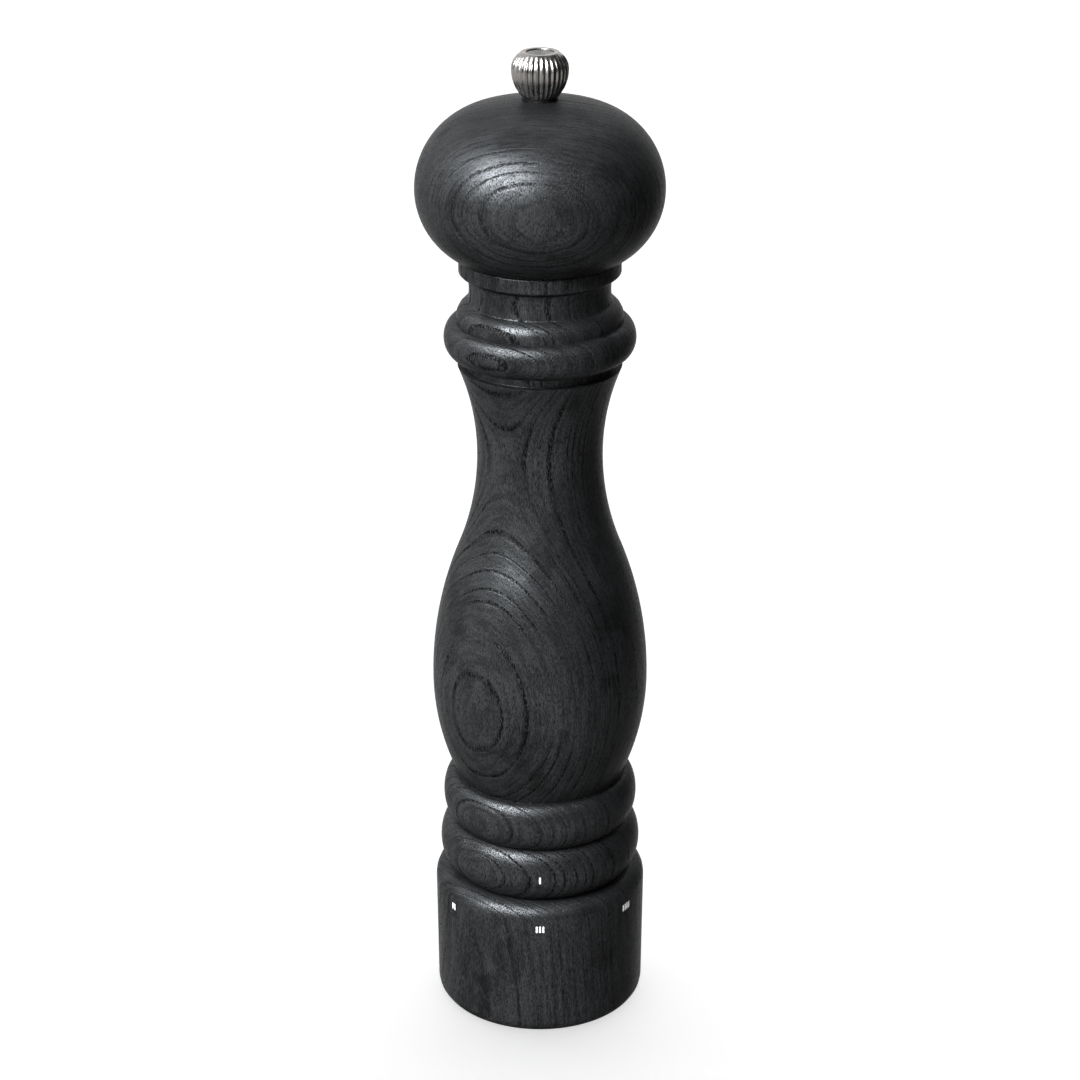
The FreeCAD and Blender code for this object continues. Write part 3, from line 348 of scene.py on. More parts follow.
# %% Stained wood
RING_WIDTH = 2.1
WOOD_DARK = grey(0.010, -0.02)
WOOD_LIGHT = grey(0.068, -0.04)
PORE_COLOUR = grey(0.002)
SHINE_TINT, EDGE_TINT = 0.8, grey(0.45)
GRAIN_RELIEF = 0.11


def stained_wood(name, pith, lean, wander_seed, line_strength=1.0):
    """Satin black-stained ring-porous wood.

    pith is where the ring centre passes the part, as (x, y) in millimetres; lean turns the pith
    line about X and Y, in degrees; wander_seed moves the noise along the grain, so that no two
    blanks match. Ring fraction = fract(distance / ring width + slow noise)."""
    recipe = Recipe(name)

    # the rings: distance from a wandering pith line, and how far through its ring a point is
    tilt = (math.radians(lean[0]), math.radians(lean[1]), 0)
    grain = recipe.place(scale=(1000,) * 3, turn=tilt, shift=(-pith[0], -pith[1], wander_seed))
    slow = recipe.place(scale=(1, 1, 0.35), source=grain)
    wander = recipe.step("ShaderNodeTexNoise", Vector=slow, Scale=0.03, Detail=1.5)
    push = recipe.vector("MULTIPLY_ADD", wander.outputs["Color"], (5, 5, 0), (-2.5, -2.5, 0))
    bent = recipe.vector("ADD", grain, push)
    distance = recipe.vector("LENGTH", recipe.vector("MULTIPLY", bent, (1, 1, 0)), result=1)
    season = recipe.step("ShaderNodeTexNoise", {"noise_dimensions": "1D"}, W=distance,
                         Scale=0.23, Detail=1.0).outputs[0]
    share = recipe.sum("FRACT", recipe.sum("MULTIPLY_ADD", season, 1.8,
                                           recipe.sum("DIVIDE", distance, RING_WIDTH)))
    early = recipe.sum("MULTIPLY", recipe.fade(share, 0.14, 0.30, 1.0, 0.0),
                       recipe.fade(share, 0.0, 0.05))

    # streaks: a noise stretched round the ring and along the grain
    reach = math.hypot(*pith)
    sideways = recipe.vector("DOT_PRODUCT", bent, (-pith[1] / reach, pith[0] / reach, 0), result=1)
    height = recipe.step("ShaderNodeSeparateXYZ", Vector=grain).outputs["Z"]
    in_ring = recipe.step("ShaderNodeCombineXYZ", X=distance, Y=sideways, Z=height).outputs[0]
    streaks = recipe.noise(recipe.place(scale=(2.4, 0.16, 0.07), source=in_ring), detail=3.0,
                           roughness=0.6)

    # pores: dashes in the open early wood, and small flecks everywhere
    dashes = recipe.noise(recipe.place(scale=(2.6, 2.6, 0.7), source=grain), detail=2.0)
    open_pores = recipe.fade(dashes, 0.42, 0.56)
    flecks = recipe.noise(recipe.place(scale=(4.2, 4.2, 1.1), source=grain), detail=2.0)
    small_pores = recipe.fade(flecks, 0.50, 0.66)
    patch = recipe.fade(recipe.noise(grain, scale=0.045, detail=1.0), 0.32, 0.55, 0.35, 1.0)
    line = recipe.sum("MULTIPLY", early, recipe.fade(open_pores, 0.0, 1.0, 0.2, 1.0))
    line = recipe.sum("MULTIPLY", line, recipe.sum("MULTIPLY", patch, line_strength))
    pores = recipe.sum("MAXIMUM", line, recipe.sum("MULTIPLY", small_pores, 0.75))

    # tone between the pores: fibres, streaks and a slow cloud in the stain
    fibre = recipe.noise(recipe.place(scale=(5.0, 5.0, 0.5), source=grain), detail=4.0,
                         roughness=0.75)
    cloud = recipe.noise(grain, scale=0.06, detail=3.0)
    tone = recipe.sum("MULTIPLY_ADD", recipe.fade(fibre, 0.3, 0.7), 0.5,
                      recipe.sum("MULTIPLY", cloud, 0.3))
    tone = recipe.sum("MULTIPLY_ADD", recipe.fade(streaks, 0.40, 0.60), 0.18, tone)
    tone = recipe.sum("MULTIPLY_ADD", recipe.fade(cloud, 0.54, 0.66), -0.2, tone)
    ground = recipe.blend(recipe.fade(tone, 0.0, 1.0), WOOD_DARK, WOOD_LIGHT)
    colour = recipe.blend(pores, ground, PORE_COLOUR)

    # gloss and relief: the pores are dull and sunk, the fibres stand up a little
    shine = recipe.sum("MULTIPLY_ADD", fibre, 0.16,
                       recipe.sum("MULTIPLY_ADD", pores, 0.3, 0.24))
    surface = recipe.sum("MULTIPLY_ADD", fibre, 0.3, recipe.sum("MULTIPLY", streaks, 0.3))
    surface = recipe.sum("SUBTRACT", surface, recipe.sum("MULTIPLY_ADD", line, 0.9, recipe.sum(
        "MULTIPLY", small_pores, 0.3)))
    recipe.relief(surface, GRAIN_RELIEF)
    return recipe.finish(Base_Color=colour, Roughness=shine, Metallic=SHINE_TINT,
                         Specular_Tint=EDGE_TINT)


HEAD_WOOD = stained_wood("head_wood", pith=(-4, 61), lean=(1.5, -1.0), wander_seed=0.0,
                         line_strength=0.8)
BODY_WOOD = stained_wood("body_wood", pith=(35, 49), lean=(-1.0, 1.5), wander_seed=130.0)
RING_WOOD = stained_wood("ring_wood", pith=(40, 45), lean=(-2.5, 2.5), wander_seed=118.0,
                         line_strength=0.7)
print("wood recipes:", HEAD_WOOD.name, BODY_WOOD.name, RING_WOOD.name)

# %% [markdown]
# Turned pieces are surfaces of revolution: a profile carried round an axis. The profile is drawn
# as a few strokes, straight runs, arcs of a given radius and half ellipses for the beads, each
# worked out as a whole array. Turned edges are never perfectly sharp, so every corner of the
# profile is cut back a little and rounded. FINE is the spacing of points along an arc and EDGE
# how far a corner is cut back, both in millimetres.

# %% Strokes of a profile
FINE = 1.1
EDGE = 0.22


def run(start, end):
    """A straight run: start + share * (end - start), with share evenly from 0 to 1."""
    start, end = np.array(start, float), np.array(end, float)
    count = max(2, int(np.linalg.norm(end - start) / (4 * FINE)) + 1)
    return start + np.linspace(0, 1, count)[:, None] * (end - start)


def arc(start, end, radius, bend):
    """A circular arc from start to end that bends left for +1 and right for -1.

    Its centre stands off the chord's middle by the square root of radius squared minus half the
    chord squared."""
    start, end = np.array(start, float), np.array(end, float)
    half = (end - start) / 2
    left = np.array([-half[1], half[0]]) / np.linalg.norm(half)
    centre = start + half + left * bend * math.sqrt(radius ** 2 - half @ half)
    first, last = (math.atan2(*(point - centre)[::-1]) for point in (start, end))
    sweep = (last - first) * bend % (2 * math.pi) * bend
    angle = first + np.linspace(0, 1, max(5, int(abs(sweep) * radius / FINE))) * sweep
    return centre + radius * np.stack([np.cos(angle), np.sin(angle)], 1)


def bead(root, crest, foot, top, count=34):
    """A half ellipse: radius = root + (crest - root) cos a, height = middle + half sin a."""
    angle = np.linspace(-math.pi / 2, math.pi / 2, count)
    middle, half = (foot + top) / 2, (top - foot) / 2
    return np.stack([root + (crest - root) * np.cos(angle), middle + half * np.sin(angle)], 1)


def leaning_radius(rise, reach):
    """Radius of an arc that starts upright and leans by reach over rise."""
    return (rise ** 2 + reach ** 2) / (2 * reach)


def join(*strokes):
    """Joins strokes into one closed profile without doubled points, and rounds its corners.

    A corner is a point where the path turns by more than 25 degrees. It becomes a short curve,
    (1 - s)^2 before + 2 s (1 - s) corner + s^2 after, between points at most EDGE away."""
    path = np.concatenate(strokes)
    gap = np.linalg.norm(path - np.roll(path, 1, 0), axis=1)
    path = path[gap > 1e-6]
    back, ahead = np.roll(path, 1, 0) - path, np.roll(path, -1, 0) - path
    back_length = np.linalg.norm(back, axis=1)[:, None]
    ahead_length = np.linalg.norm(ahead, axis=1)[:, None]
    cosine = -(back * ahead).sum(1)[:, None] / (back_length * ahead_length)
    cut = np.minimum(EDGE, 0.45 * np.minimum(back_length, ahead_length))
    cut = np.where(cosine < math.cos(math.radians(25)), cut, 0)
    before, after = path + back / back_length * cut, path + ahead / ahead_length * cut
    share = np.linspace(0, 1, 5)[None, :, None]
    curve = ((1 - share) ** 2 * before[:, None] + 2 * share * (1 - share) * path[:, None]
             + share ** 2 * after[:, None])
    keep = np.ones((len(path), 5), bool)
    keep[cut[:, 0] == 0, 1:] = False
    return curve[keep]


print("points along an arc stand", FINE, "mm apart; corners are cut back", EDGE, "mm")

# %% [markdown]
# One function turns any profile into a mesh. A Screw modifier would do the same, but an array
# keeps every point in hand. It makes the three wooden pieces and the disc in the knob. The
# knob's side is fluted, so it has a function of its own.

# %% Turning a profile
AROUND = 240


def new_piece(name, points, faces, material, caps=()):
    """Puts arrays of points in metres and of faces into a new smooth-shaded mesh object.

    caps are extra faces, such as the two ends of a wire. Edges over 38 degrees stay sharp."""
    mesh = bpy.data.meshes.new(name)
    mesh.from_pydata(points.reshape(-1, 3), [],
                     faces.reshape(-1, faces.shape[-1]).tolist() + list(caps))
    mesh.validate()
    mesh.shade_smooth()
    mesh.set_sharp_from_angle(angle=math.radians(38))
    mesh.materials.append(material)
    piece = bpy.data.objects.new(name, mesh)
    bpy.context.scene.collection.objects.link(piece)
    print(name, "has", len(mesh.polygons), "faces")
    return piece


def grid_faces(rows, columns, closed_rows=True):
    """Quads of a grid whose columns close on themselves, and whose rows may."""
    steps = rows if closed_rows else rows - 1
    row, column = np.meshgrid(np.arange(steps), np.arange(columns), indexing="ij")
    above, right = (row + 1) % rows, (column + 1) % columns
    corners = [row * columns + column, row * columns + right,
               above * columns + right, above * columns + column]
    return np.stack(corners, -1)


def turn(name, profile, material):
    """Turns a closed profile of (radius, height) in millimetres round the Z axis.

    Point (i, j) = (radius_i cos t_j, radius_i sin t_j, height_i), with t_j = 2 pi j / AROUND."""
    angle = np.arange(AROUND) * 2 * math.pi / AROUND
    radius, height = profile.T
    points = np.stack([np.outer(radius, np.cos(angle)), np.outer(radius, np.sin(angle)),
                       np.outer(height, np.ones(AROUND))], -1) / 1000
    return new_piece(name, points, grid_faces(len(profile), AROUND), material)


print("a turned piece has", AROUND, "facets round its axis")

# %% [markdown]
# The body stands on the selector ring. From the bottom it has two beads, the belly and waist,
# which are four arcs that flow into each other, and the moulded neck. Its inside is bored out
# for the mechanism, for the peppercorns and for the head's spigot. The heights come from the
# frame and from the same few sizes that the part was drawn with.

# %% The turned body
MM = 1000
BODY_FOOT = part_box("turned_body")[0].z * MM
BODY_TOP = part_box("turned_body")[1].z * MM
BARREL_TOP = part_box("mechanism_housing")[1].z * MM
BARREL_BORE = 19.45
CHAMBER_BORE = 13.0
SPIGOT_BORE = 15.05
SPIGOT_WELL = BODY_TOP - 14.95
CREASE = 26.0
LOWER_BEAD = BODY_FOOT + 16.9
BEADS_TOP = LOWER_BEAD + 15.2
BELLY_FOOT, BELLY, WAIST, COLLAR = 25.5, 32.5, 18.5, 24.0
SHELF, COVE = 24.2, 20.8
BELLY_RISE, WAIST_RISE, COLLAR_RISE, BELLY_CURVE = 32.0, 104.1, 131.6, 113.0


def body_outside():
    """The body's outer side from its foot to its rim, as strokes from the bottom up.

    The belly's outward arc and the waist's inward arc share a tangent, so their radii add up to
    (drop^2 + narrowing^2) / (2 narrowing)."""
    belly_height = BEADS_TOP + BELLY_RISE
    waist_height = BEADS_TOP + WAIST_RISE
    collar = BEADS_TOP + COLLAR_RISE
    drop, narrowing = WAIST_RISE - BELLY_RISE, BELLY - WAIST
    both = (drop ** 2 + narrowing ** 2) / (2 * narrowing)
    blend_rise = drop * BELLY_CURVE / both
    blend = (BELLY - BELLY_CURVE + math.sqrt(BELLY_CURVE ** 2 - blend_rise ** 2),
             belly_height + blend_rise)
    neck_bead, small_bead = collar + 3.2, collar + 13.6
    cove_foot, cove, rim = small_bead + 1.0, small_bead + 5.7, small_bead + 13.0
    return [
        bead(CREASE, 30.8, BODY_FOOT, LOWER_BEAD),
        bead(CREASE, 29.7, LOWER_BEAD, BEADS_TOP),
        arc((BELLY_FOOT, BEADS_TOP), (BELLY, belly_height),
            leaning_radius(BELLY_RISE, BELLY - BELLY_FOOT), 1),
        arc((BELLY, belly_height), blend, BELLY_CURVE, 1),
        arc(blend, (WAIST, waist_height), both - BELLY_CURVE, -1),
        arc((WAIST, waist_height), (COLLAR, collar),
            leaning_radius(COLLAR_RISE - WAIST_RISE, COLLAR - WAIST), -1),
        run((21.8, collar), (21.8, neck_bead)),
        bead(24.3, 27.9, neck_bead, small_bead),
        run((SHELF, small_bead), (SHELF, cove_foot)),
        arc((SHELF, cove_foot), (COVE, cove), leaning_radius(cove - cove_foot, SHELF - COVE), 1),
        arc((COVE, cove), (COVE, rim), 20.0, -1),
        run((23.0, rim + 1.1), (23.4, rim + 1.5)),
        run((23.4, BODY_TOP - 0.4), (23.0, BODY_TOP))]


body_inside = [
    run((SPIGOT_BORE, BODY_TOP), (SPIGOT_BORE, SPIGOT_WELL)),
    run((CHAMBER_BORE, SPIGOT_WELL), (CHAMBER_BORE, BARREL_TOP + 0.1)),
    run((BARREL_BORE, BARREL_TOP + 0.1), (BARREL_BORE, BODY_FOOT))]
body_profile = join(*body_outside(), *body_inside)
body_piece = turn("body_wood", body_profile, BODY_WOOD)
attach(body_piece, "mill_body")
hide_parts("turned_body")

# %% [markdown]
# The head is a flattened ball: a lower arc that reaches the widest place upright, a tighter arc
# above it and a wide arc over the crown. The two upper arcs touch where the line through their
# centres meets them. Below is the spigot that centres the head in the body, and a hole for the
# shaft runs right through.

# %% The head
HEAD_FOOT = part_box("turned_body")[1].z * MM + 0.15
HEAD_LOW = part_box("head")[0].z * MM
HEAD_RADIUS, HEAD_FOOT_RADIUS = 35.6, 23.8
LOWER_RISE, UPPER_RISE, SIDE_CURVE = 19.7, 25.7, 24.0
SHAFT_BORE, THREAD_BORE, SPIGOT, SEAT_EDGE, SEAT_DEPTH = 4.6, 3.15, 14.9, 5.15, 0.4
THREAD_LENGTH = 24.0
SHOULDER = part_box("drive_shaft")[1].z * MM - THREAD_LENGTH


def head_outside():
    """The ball from its foot to the knob's seat.

    With a = widest radius - side radius, the crown's radius is
    (a^2 + rise^2 - side^2) / (2 rise - 2 side)."""
    widest = HEAD_FOOT + LOWER_RISE
    top = widest + UPPER_RISE
    inward = HEAD_RADIUS - SIDE_CURVE
    crown = ((inward ** 2 + UPPER_RISE ** 2 - SIDE_CURVE ** 2)
             / (2 * UPPER_RISE - 2 * SIDE_CURVE))
    share = crown / (crown - SIDE_CURVE)
    touch = (inward * share, top - crown + (crown - UPPER_RISE) * share)
    lip = top - crown + math.sqrt(crown ** 2 - SEAT_EDGE ** 2)
    return [
        arc((HEAD_FOOT_RADIUS, HEAD_FOOT), (HEAD_RADIUS, widest),
            leaning_radius(LOWER_RISE, HEAD_RADIUS - HEAD_FOOT_RADIUS), 1),
        arc((HEAD_RADIUS, widest), touch, SIDE_CURVE, 1),
        arc(touch, (SEAT_EDGE, lip), crown, 1),
        run((SEAT_EDGE, top - SEAT_DEPTH), (THREAD_BORE, top - SEAT_DEPTH))]


head_inside = [
    run((THREAD_BORE, SHOULDER), (SHAFT_BORE, SHOULDER)),
    run((SHAFT_BORE, HEAD_LOW), (SPIGOT, HEAD_LOW)),
    run((SPIGOT, HEAD_LOW), (SPIGOT, HEAD_FOOT))]
head_piece = turn("head_wood", join(*head_outside(), *head_inside), HEAD_WOOD)
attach(head_piece, "head")
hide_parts("head")

# %% [markdown]
# The selector ring carries the whole mill. It is nearly a cylinder, a little wider at the top,
# with a round foot and a round shoulder, and it is bored for the nut that turns with it.

# %% The selector ring
RING_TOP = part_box("adjusting_ring")[1].z * MM
RING_RADIUS, RING_FOOT_RADIUS = 32.5, 32.2
FOOT_ROUND, SHOULDER_ROUND, RING_BORE, MOUTH = 3.6, 5.3, 26.05, 1.2
ring_profile = join(
    run((RING_BORE, RING_TOP), (RING_BORE, MOUTH)),
    run((RING_BORE + MOUTH, 0), (RING_FOOT_RADIUS - FOOT_ROUND, 0)),
    arc((RING_FOOT_RADIUS - FOOT_ROUND, 0), (RING_FOOT_RADIUS, FOOT_ROUND), FOOT_ROUND, 1),
    run((RING_FOOT_RADIUS, FOOT_ROUND), (RING_RADIUS, RING_TOP - SHOULDER_ROUND)),
    arc((RING_RADIUS, RING_TOP - SHOULDER_ROUND), (RING_RADIUS - SHOULDER_ROUND, RING_TOP),
        SHOULDER_ROUND, 1))
ring_piece = turn("selector_ring_wood", ring_profile, RING_WOOD)
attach(ring_piece, "adjusting_ring")
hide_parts("adjusting_ring")

# %% [markdown]
# The knob is a small turned barrel whose side is cut by a ring of round flutes. Each flute's
# section is part of a circle, so the radius drops by that circle's height over the distance from
# the flute's middle. The flutes fade out at the foot and at the rim.

# %% The fluted knob
KNOB_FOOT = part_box("top_knob")[0].z * MM
KNOB_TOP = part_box("top_knob")[1].z * MM
FLUTES, FLUTE_RADIUS, FLUTE_DEPTH, FLUTE_COLUMNS = 32, 0.72, 0.4, 14
KNOB_RADIUS, KNOB_RIM, KNOB_NECK, BEVEL = 8.1, 5.9, 5.2, 0.6
KNOB_WIDEST = KNOB_FOOT + 7.7
DISC_BORE, DISC_FLOOR, KNOB_BORE = 3.95, KNOB_TOP - 1.1, 3.05


def fluted(profile):
    """Grid of points for a fluted turned surface.

    Within a flute, drop = sqrt(R^2 - x^2) - (R - depth), where x is the distance along the
    surface from the flute's middle; the drop is never below zero."""
    columns = FLUTES * FLUTE_COLUMNS
    angle = np.arange(columns) * 2 * math.pi / columns
    radius, height = profile.T
    offset = (angle * FLUTES / (2 * math.pi) + 0.5) % 1 - 0.5
    across = offset[None, :] * 2 * math.pi / FLUTES * radius[:, None]
    bow = np.sqrt(np.clip(FLUTE_RADIUS ** 2 - across ** 2, 0, None))
    drop = np.clip(bow - (FLUTE_RADIUS - FLUTE_DEPTH), 0, None)
    rise = np.clip((height - KNOB_FOOT - 0.2) / 1.2, 0, 1)
    fall = np.clip((KNOB_TOP - BEVEL - 0.15 - height) / 0.7, 0, 1)
    outer = radius > DISC_BORE + 0.8
    drop = drop * (rise * fall * outer)[:, None]
    turned_radius = radius[:, None] - drop
    return np.stack([turned_radius * np.cos(angle), turned_radius * np.sin(angle),
                     np.repeat(height[:, None], columns, 1)], -1) / 1000


knob_profile = join(
    arc((KNOB_NECK, KNOB_FOOT), (KNOB_RADIUS, KNOB_WIDEST),
        leaning_radius(7.7, KNOB_RADIUS - KNOB_NECK), 1),
    arc((KNOB_RADIUS, KNOB_WIDEST), (KNOB_RIM, KNOB_TOP - BEVEL),
        leaning_radius(KNOB_TOP - BEVEL - KNOB_WIDEST, KNOB_RADIUS - KNOB_RIM), 1),
    run((KNOB_RIM - BEVEL, KNOB_TOP), (DISC_BORE, KNOB_TOP)),
    run((DISC_BORE, DISC_FLOOR), (KNOB_BORE, DISC_FLOOR)),
    run((KNOB_BORE, DISC_FLOOR), (KNOB_BORE, KNOB_FOOT)))
knob_points = fluted(knob_profile)
print("fluted knob grid:", knob_points.shape[:2])

# %% [markdown]
# The knob is nickel plate over brass, a dull and slightly warm grey. It gets very fine turning
# lines, and a cloud in both the colour and the gloss, as from fingers. Plain polished metal
# would be simpler, but it shows nothing of how the knob was made.

# %% Nickel plate
def nickel_plate(name, tint, roughness, line_size, shade=0.7):
    """Satin plate: fine turning lines stacked along Z, and a cloud that dims the tint.

    Colour runs from the tint to shade times the tint."""
    recipe = Recipe(name)
    lines = recipe.noise(recipe.place(scale=(60, 60, line_size)), detail=2.0)
    cloud = recipe.noise(recipe.place(scale=(420,) * 3), detail=3.0)
    shine = recipe.fade(cloud, 0.3, 0.75, roughness * 0.75, roughness * 1.5)
    colour = recipe.blend(cloud, tint, [part * shade for part in tint[:3]] + [1])
    recipe.relief(lines, 0.003)
    return recipe.finish(Base_Color=colour, Metallic=1.0, Roughness=shine)


NICKEL = nickel_plate("nickel_plate", grey(0.30, 0.05), 0.28, 9000)
knob_piece = new_piece("fluted_knob", knob_points, grid_faces(*knob_points.shape[:2]), NICKEL)
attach(knob_piece, "knob")
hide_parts("top_knob")

# %% [markdown]
# A thin disc closes the top of the knob. Its face is spun in shallow rings that stop short of
# the rim. Bump could fake them, but a wavy profile catches the light as the real rings do, so
# it is the same turned surface again. Its plate is darker and a little rougher than the knob's.

# %% The disc in the knob
DISC_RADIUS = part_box("knob_disc")[1].x * MM
DISC_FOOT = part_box("knob_disc")[0].z * MM
DISC_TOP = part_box("knob_disc")[1].z * MM
SPUN_RINGS, RING_RELIEF = 5, 0.05
DISC_EDGE, DISC_EYE = 0.1, 0.02

reach = np.linspace(DISC_RADIUS - DISC_EDGE, DISC_EYE, 90)
ripple = RING_RELIEF * (0.5 + 0.5 * np.cos(2 * math.pi * SPUN_RINGS * reach / DISC_RADIUS))
disc_face = np.stack([reach, DISC_TOP - RING_RELIEF + ripple * (reach < DISC_RADIUS * 0.9)], 1)
disc_profile = join(
    run((DISC_EYE, DISC_FOOT), (DISC_RADIUS, DISC_FOOT)),
    run((DISC_RADIUS, DISC_FOOT + DISC_EDGE), (DISC_RADIUS, DISC_TOP - DISC_EDGE)),
    disc_face)
SPUN_NICKEL = nickel_plate("spun_nickel", grey(0.10), 0.3, 400)
disc_piece = turn("knob_top_disc", disc_profile, SPUN_NICKEL)
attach(disc_piece, "knob")
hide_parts("knob_disc")

# %% [markdown]
# The selector ring carries a tally of small bars at each of its six settings, and the body one
# bar that points to the setting chosen. They are inlaid in pale lacquer. They could be painted
# by the wood's material, but real shapes keep crisp ends and turn with the ring. Each bar is a
# thin pad with round ends, bent round the wood, and stands just proud of it.

# %% Grinding marks
BAR_WIDTH, BAR_HEIGHT, BAR_PITCH, BAR_POINTS = 0.6, 2.3, 1.0, 24
TALLY_HEIGHT, INDEX_HEIGHT, INDEX_RADIUS = 37.7, BODY_FOOT + 8.65, 30.79
SETTINGS, REST_SETTING, CLICK_STEP = 6, 3, 55.0
PROUD, SUNK = 0.025, 0.3


def bar(azimuth, height, radius, shift):
    """Points and faces of one pad: a stadium outline, once sunk and once proud of the wood.

    Outline = half-length straight + end round; angle = azimuth + across / radius, azimuth 0 is
    the index side and grows towards +X."""
    corner = np.linspace(0, 2 * math.pi, BAR_POINTS, endpoint=False) + math.pi / BAR_POINTS
    across = BAR_WIDTH / 2 * np.cos(corner) + shift
    upright = BAR_WIDTH / 2 * np.sin(corner)
    upright = upright + np.sign(upright) * (BAR_HEIGHT - BAR_WIDTH) / 2 + height
    angle = math.radians(azimuth - 90) + across / radius
    layers = [np.stack([level * np.cos(angle), level * np.sin(angle), upright], 1) / 1000
              for level in (radius - SUNK, radius + PROUD)]
    count = len(angle)
    first = np.arange(count)
    sides = np.stack([first, (first + 1) % count, (first + 1) % count + count, first + count], 1)
    caps = [list(range(count - 1, -1, -1)), list(range(count, 2 * count))]
    return np.concatenate(layers), sides.tolist() + caps


def bars(name, marks, material):
    """One mesh object from many pads; marks are (azimuth, height, radius, shift)."""
    points, faces = [], []
    for mark in marks:
        pad_points, pad_faces = bar(*mark)
        start = sum(len(block) for block in points)
        points.append(pad_points)
        faces += [[corner + start for corner in face] for face in pad_faces]
    mesh = bpy.data.meshes.new(name)
    mesh.from_pydata(np.concatenate(points), [], faces)
    mesh.materials.append(material)
    piece = bpy.data.objects.new(name, mesh)
    bpy.context.scene.collection.objects.link(piece)
    print(name, "has", len(marks), "bars")
    return piece


def pale_lacquer():
    """Worn pale grey lacquer: a speckle darkens it where it has rubbed thin."""
    recipe = Recipe("pale_lacquer")
    speckle = recipe.noise(recipe.place(scale=(2600,) * 3), detail=3.0)
    worn = recipe.fade(speckle, 0.42, 0.68)
    colour = recipe.blend(worn, grey(0.66), grey(0.42))
    recipe.relief(speckle, 0.02)
    return recipe.finish(Base_Color=colour, Roughness=0.5)


LACQUER = pale_lacquer()
wall_radius = RING_FOOT_RADIUS + (RING_RADIUS - RING_FOOT_RADIUS) * (
    (TALLY_HEIGHT - FOOT_ROUND) / (RING_TOP - SHOULDER_ROUND - FOOT_ROUND))
tallies = [(CLICK_STEP * (count - REST_SETTING), TALLY_HEIGHT, wall_radius,
            (place - (count - 1) / 2) * BAR_PITCH)
           for count in range(1, SETTINGS + 1) for place in range(count)]
tally_piece = bars("setting_tallies", tallies, LACQUER)
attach(tally_piece, "adjusting_ring")
index_piece = bars("index_bar", [(0, INDEX_HEIGHT, INDEX_RADIUS, 0)], LACQUER)
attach(index_piece, "mill_body")

# %% [markdown]
# The mechanism shows from below, and when the head is lifted. Its pieces could be built anew,
# but they have the right shape already, so all but the grinder's spring keep their own meshes
# and get finishes: moulded plastic, zinc plate, grinding steel, drawn stainless steel, spring
# steel and brass. The washer under the knob is coloured near black as painted shade, in place
# of the shadow under the knob, so that only the knob shines.

# %% Finishes for the mechanism
def moulded_plastic():
    """Black acetal: a fine spark-eroded texture and slow flow marks in the gloss."""
    recipe = Recipe("moulded_plastic")
    texture = recipe.noise(recipe.place(scale=(4200,) * 3), detail=2.0)
    flow = recipe.noise(recipe.place(scale=(90, 90, 260)), detail=3.0)
    colour = recipe.blend(flow, grey(0.010), grey(0.022))
    recipe.relief(texture, 0.02)
    return recipe.finish(Base_Color=colour, Roughness=recipe.fade(flow, 0.2, 0.8, 0.36, 0.55))


def bare_metal(name, dark, light, roughness, lines):
    """A metal finish that clouds between two tones, dark and light.

    lines is the scratches' fineness along X, Y and Z; unequal values make them directional."""
    recipe = Recipe(name)
    cloud = recipe.noise(recipe.place(scale=(900,) * 3), detail=4.0, roughness=0.6)
    scratches = recipe.noise(recipe.place(scale=lines), detail=2.0)
    colour = recipe.blend(recipe.fade(cloud, 0.3, 0.7), dark, light)
    shine = recipe.fade(scratches, 0.25, 0.75, roughness * 0.7, roughness * 1.4)
    recipe.relief(scratches, 0.008)
    return recipe.finish(Base_Color=colour, Metallic=1.0, Roughness=shine)


SPRING_STEEL = bare_metal("tempered_steel", grey(0.25), grey(0.38), 0.30, (2500, 2500, 2500))
FINISHES = {
    moulded_plastic(): ["mechanism_housing", "adjusting_nut", "rotor_bridge",
                        "head_drive_plate"],
    bare_metal("zinc_plate", (0.42, 0.44, 0.48, 1), (0.58, 0.60, 0.62, 1), 0.34,
               (500, 500, 500)): ["shaft_bracket", "bracket_screws", "housing_screws",
                                  "drive_plate_screws", "shaft_washer"],
    # painted shade: the washer under the knob is coloured near black in place of the shadow
    # beneath the knob
    bare_metal("painted_shade_steel", grey(0.016), grey(0.03), 0.42,
               (700, 700, 700)): ["knob_washer"],
    bare_metal("grinding_steel", grey(0.13, 0.05), grey(0.22, 0.05), 0.38,
               (120, 120, 5000)): ["grinding_ring", "grinding_cone"],
    bare_metal("stainless_steel", grey(0.45), grey(0.56), 0.26,
               (3500, 3500, 40)): ["drive_shaft"],
    SPRING_STEEL: ["detent_spring", "shaft_circlip", "ring_retainer", "detent_ball"],
    bare_metal("brass", (0.50, 0.34, 0.13, 1), (0.66, 0.47, 0.19, 1), 0.30,
               (200, 200, 4000)): ["thrust_washer"]}
for material, names in FINISHES.items():
    for node in names:
        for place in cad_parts[node].material_slots:
            place.material = material
    print(material.name, "finishes", len(names), "nodes")
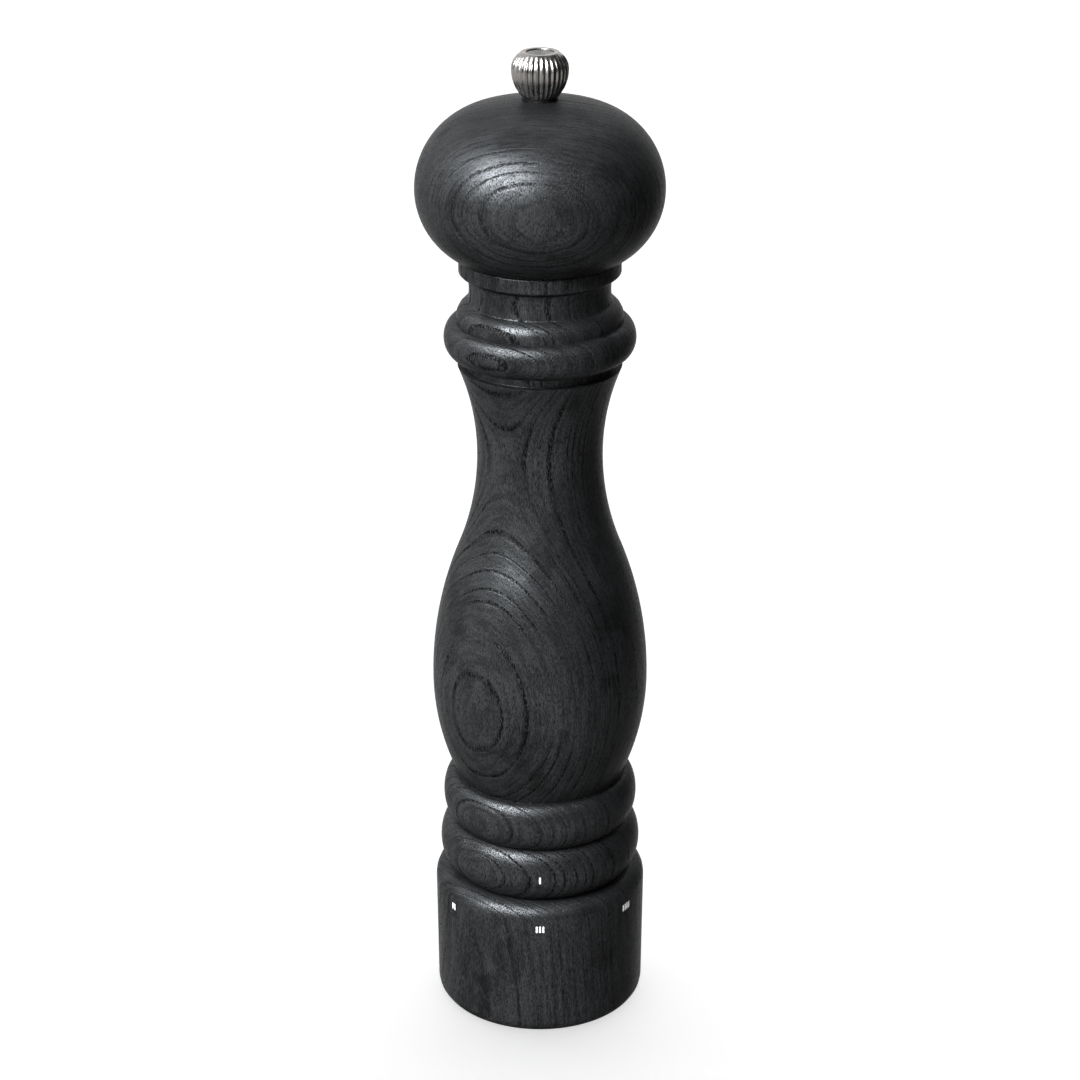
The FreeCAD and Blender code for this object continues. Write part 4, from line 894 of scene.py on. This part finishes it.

# %% [markdown]
# The spring that presses the cone down can't stay stiff: when the selector ring lifts the cone,
# the spring gets shorter. It is wound again here as a wire along a helix and given a mesh of its
# own. Its first and last turns rise more slowly, as on a real spring, so that both ends sit
# nearly flat.

# %% The grinder spring
WIRE, TURNS = 0.9, 7
SPRING_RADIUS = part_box("grinder_spring")[1].x * MM - WIRE / 2
SPRING_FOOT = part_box("grinder_spring")[0].z * MM
SPRING_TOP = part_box("grinder_spring")[1].z * MM


def coil(radius, wire, foot, top, turns, steps=64, sides=14):
    """A wire of circles round a helix: centre = (radius cos a, radius sin a, height(a)).

    Each circle lies in the plane of the outward direction and of outward x tangent."""
    angle = np.linspace(0, 2 * math.pi * turns, int(turns * steps))
    lead = np.clip(np.minimum(angle, angle[-1] - angle) / (2 * math.pi), 0.45, 1)
    climb = np.concatenate([[0], np.cumsum((lead[1:] + lead[:-1]) / 2)])
    height = foot + wire / 2 + (top - foot - wire) * climb / climb[-1]
    middle = np.stack([radius * np.cos(angle), radius * np.sin(angle), height], 1)
    outward = np.stack([np.cos(angle), np.sin(angle), 0 * angle], 1)
    tangent = np.gradient(middle, axis=0)
    upward = np.cross(outward, tangent)
    upward /= np.linalg.norm(upward, axis=1)[:, None]
    round_angle = np.arange(sides) * 2 * math.pi / sides
    circle = (np.cos(round_angle)[None, :, None] * outward[:, None]
              + np.sin(round_angle)[None, :, None] * upward[:, None])
    return (middle[:, None] + wire / 2 * circle) / 1000


wire_points = coil(SPRING_RADIUS, WIRE, SPRING_FOOT, SPRING_TOP, TURNS)
rows, sides = wire_points.shape[:2]
ends = [list(range(sides)), list(range(rows * sides - 1, rows * sides - 1 - sides, -1))]
spring_piece = new_piece("grinder_spring_wire", wire_points,
                         grid_faces(rows, sides, closed_rows=False)[..., ::-1],
                         SPRING_STEEL, ends)
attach(spring_piece, "drive")
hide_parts("grinder_spring")
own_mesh(spring_piece)

# %% [markdown]
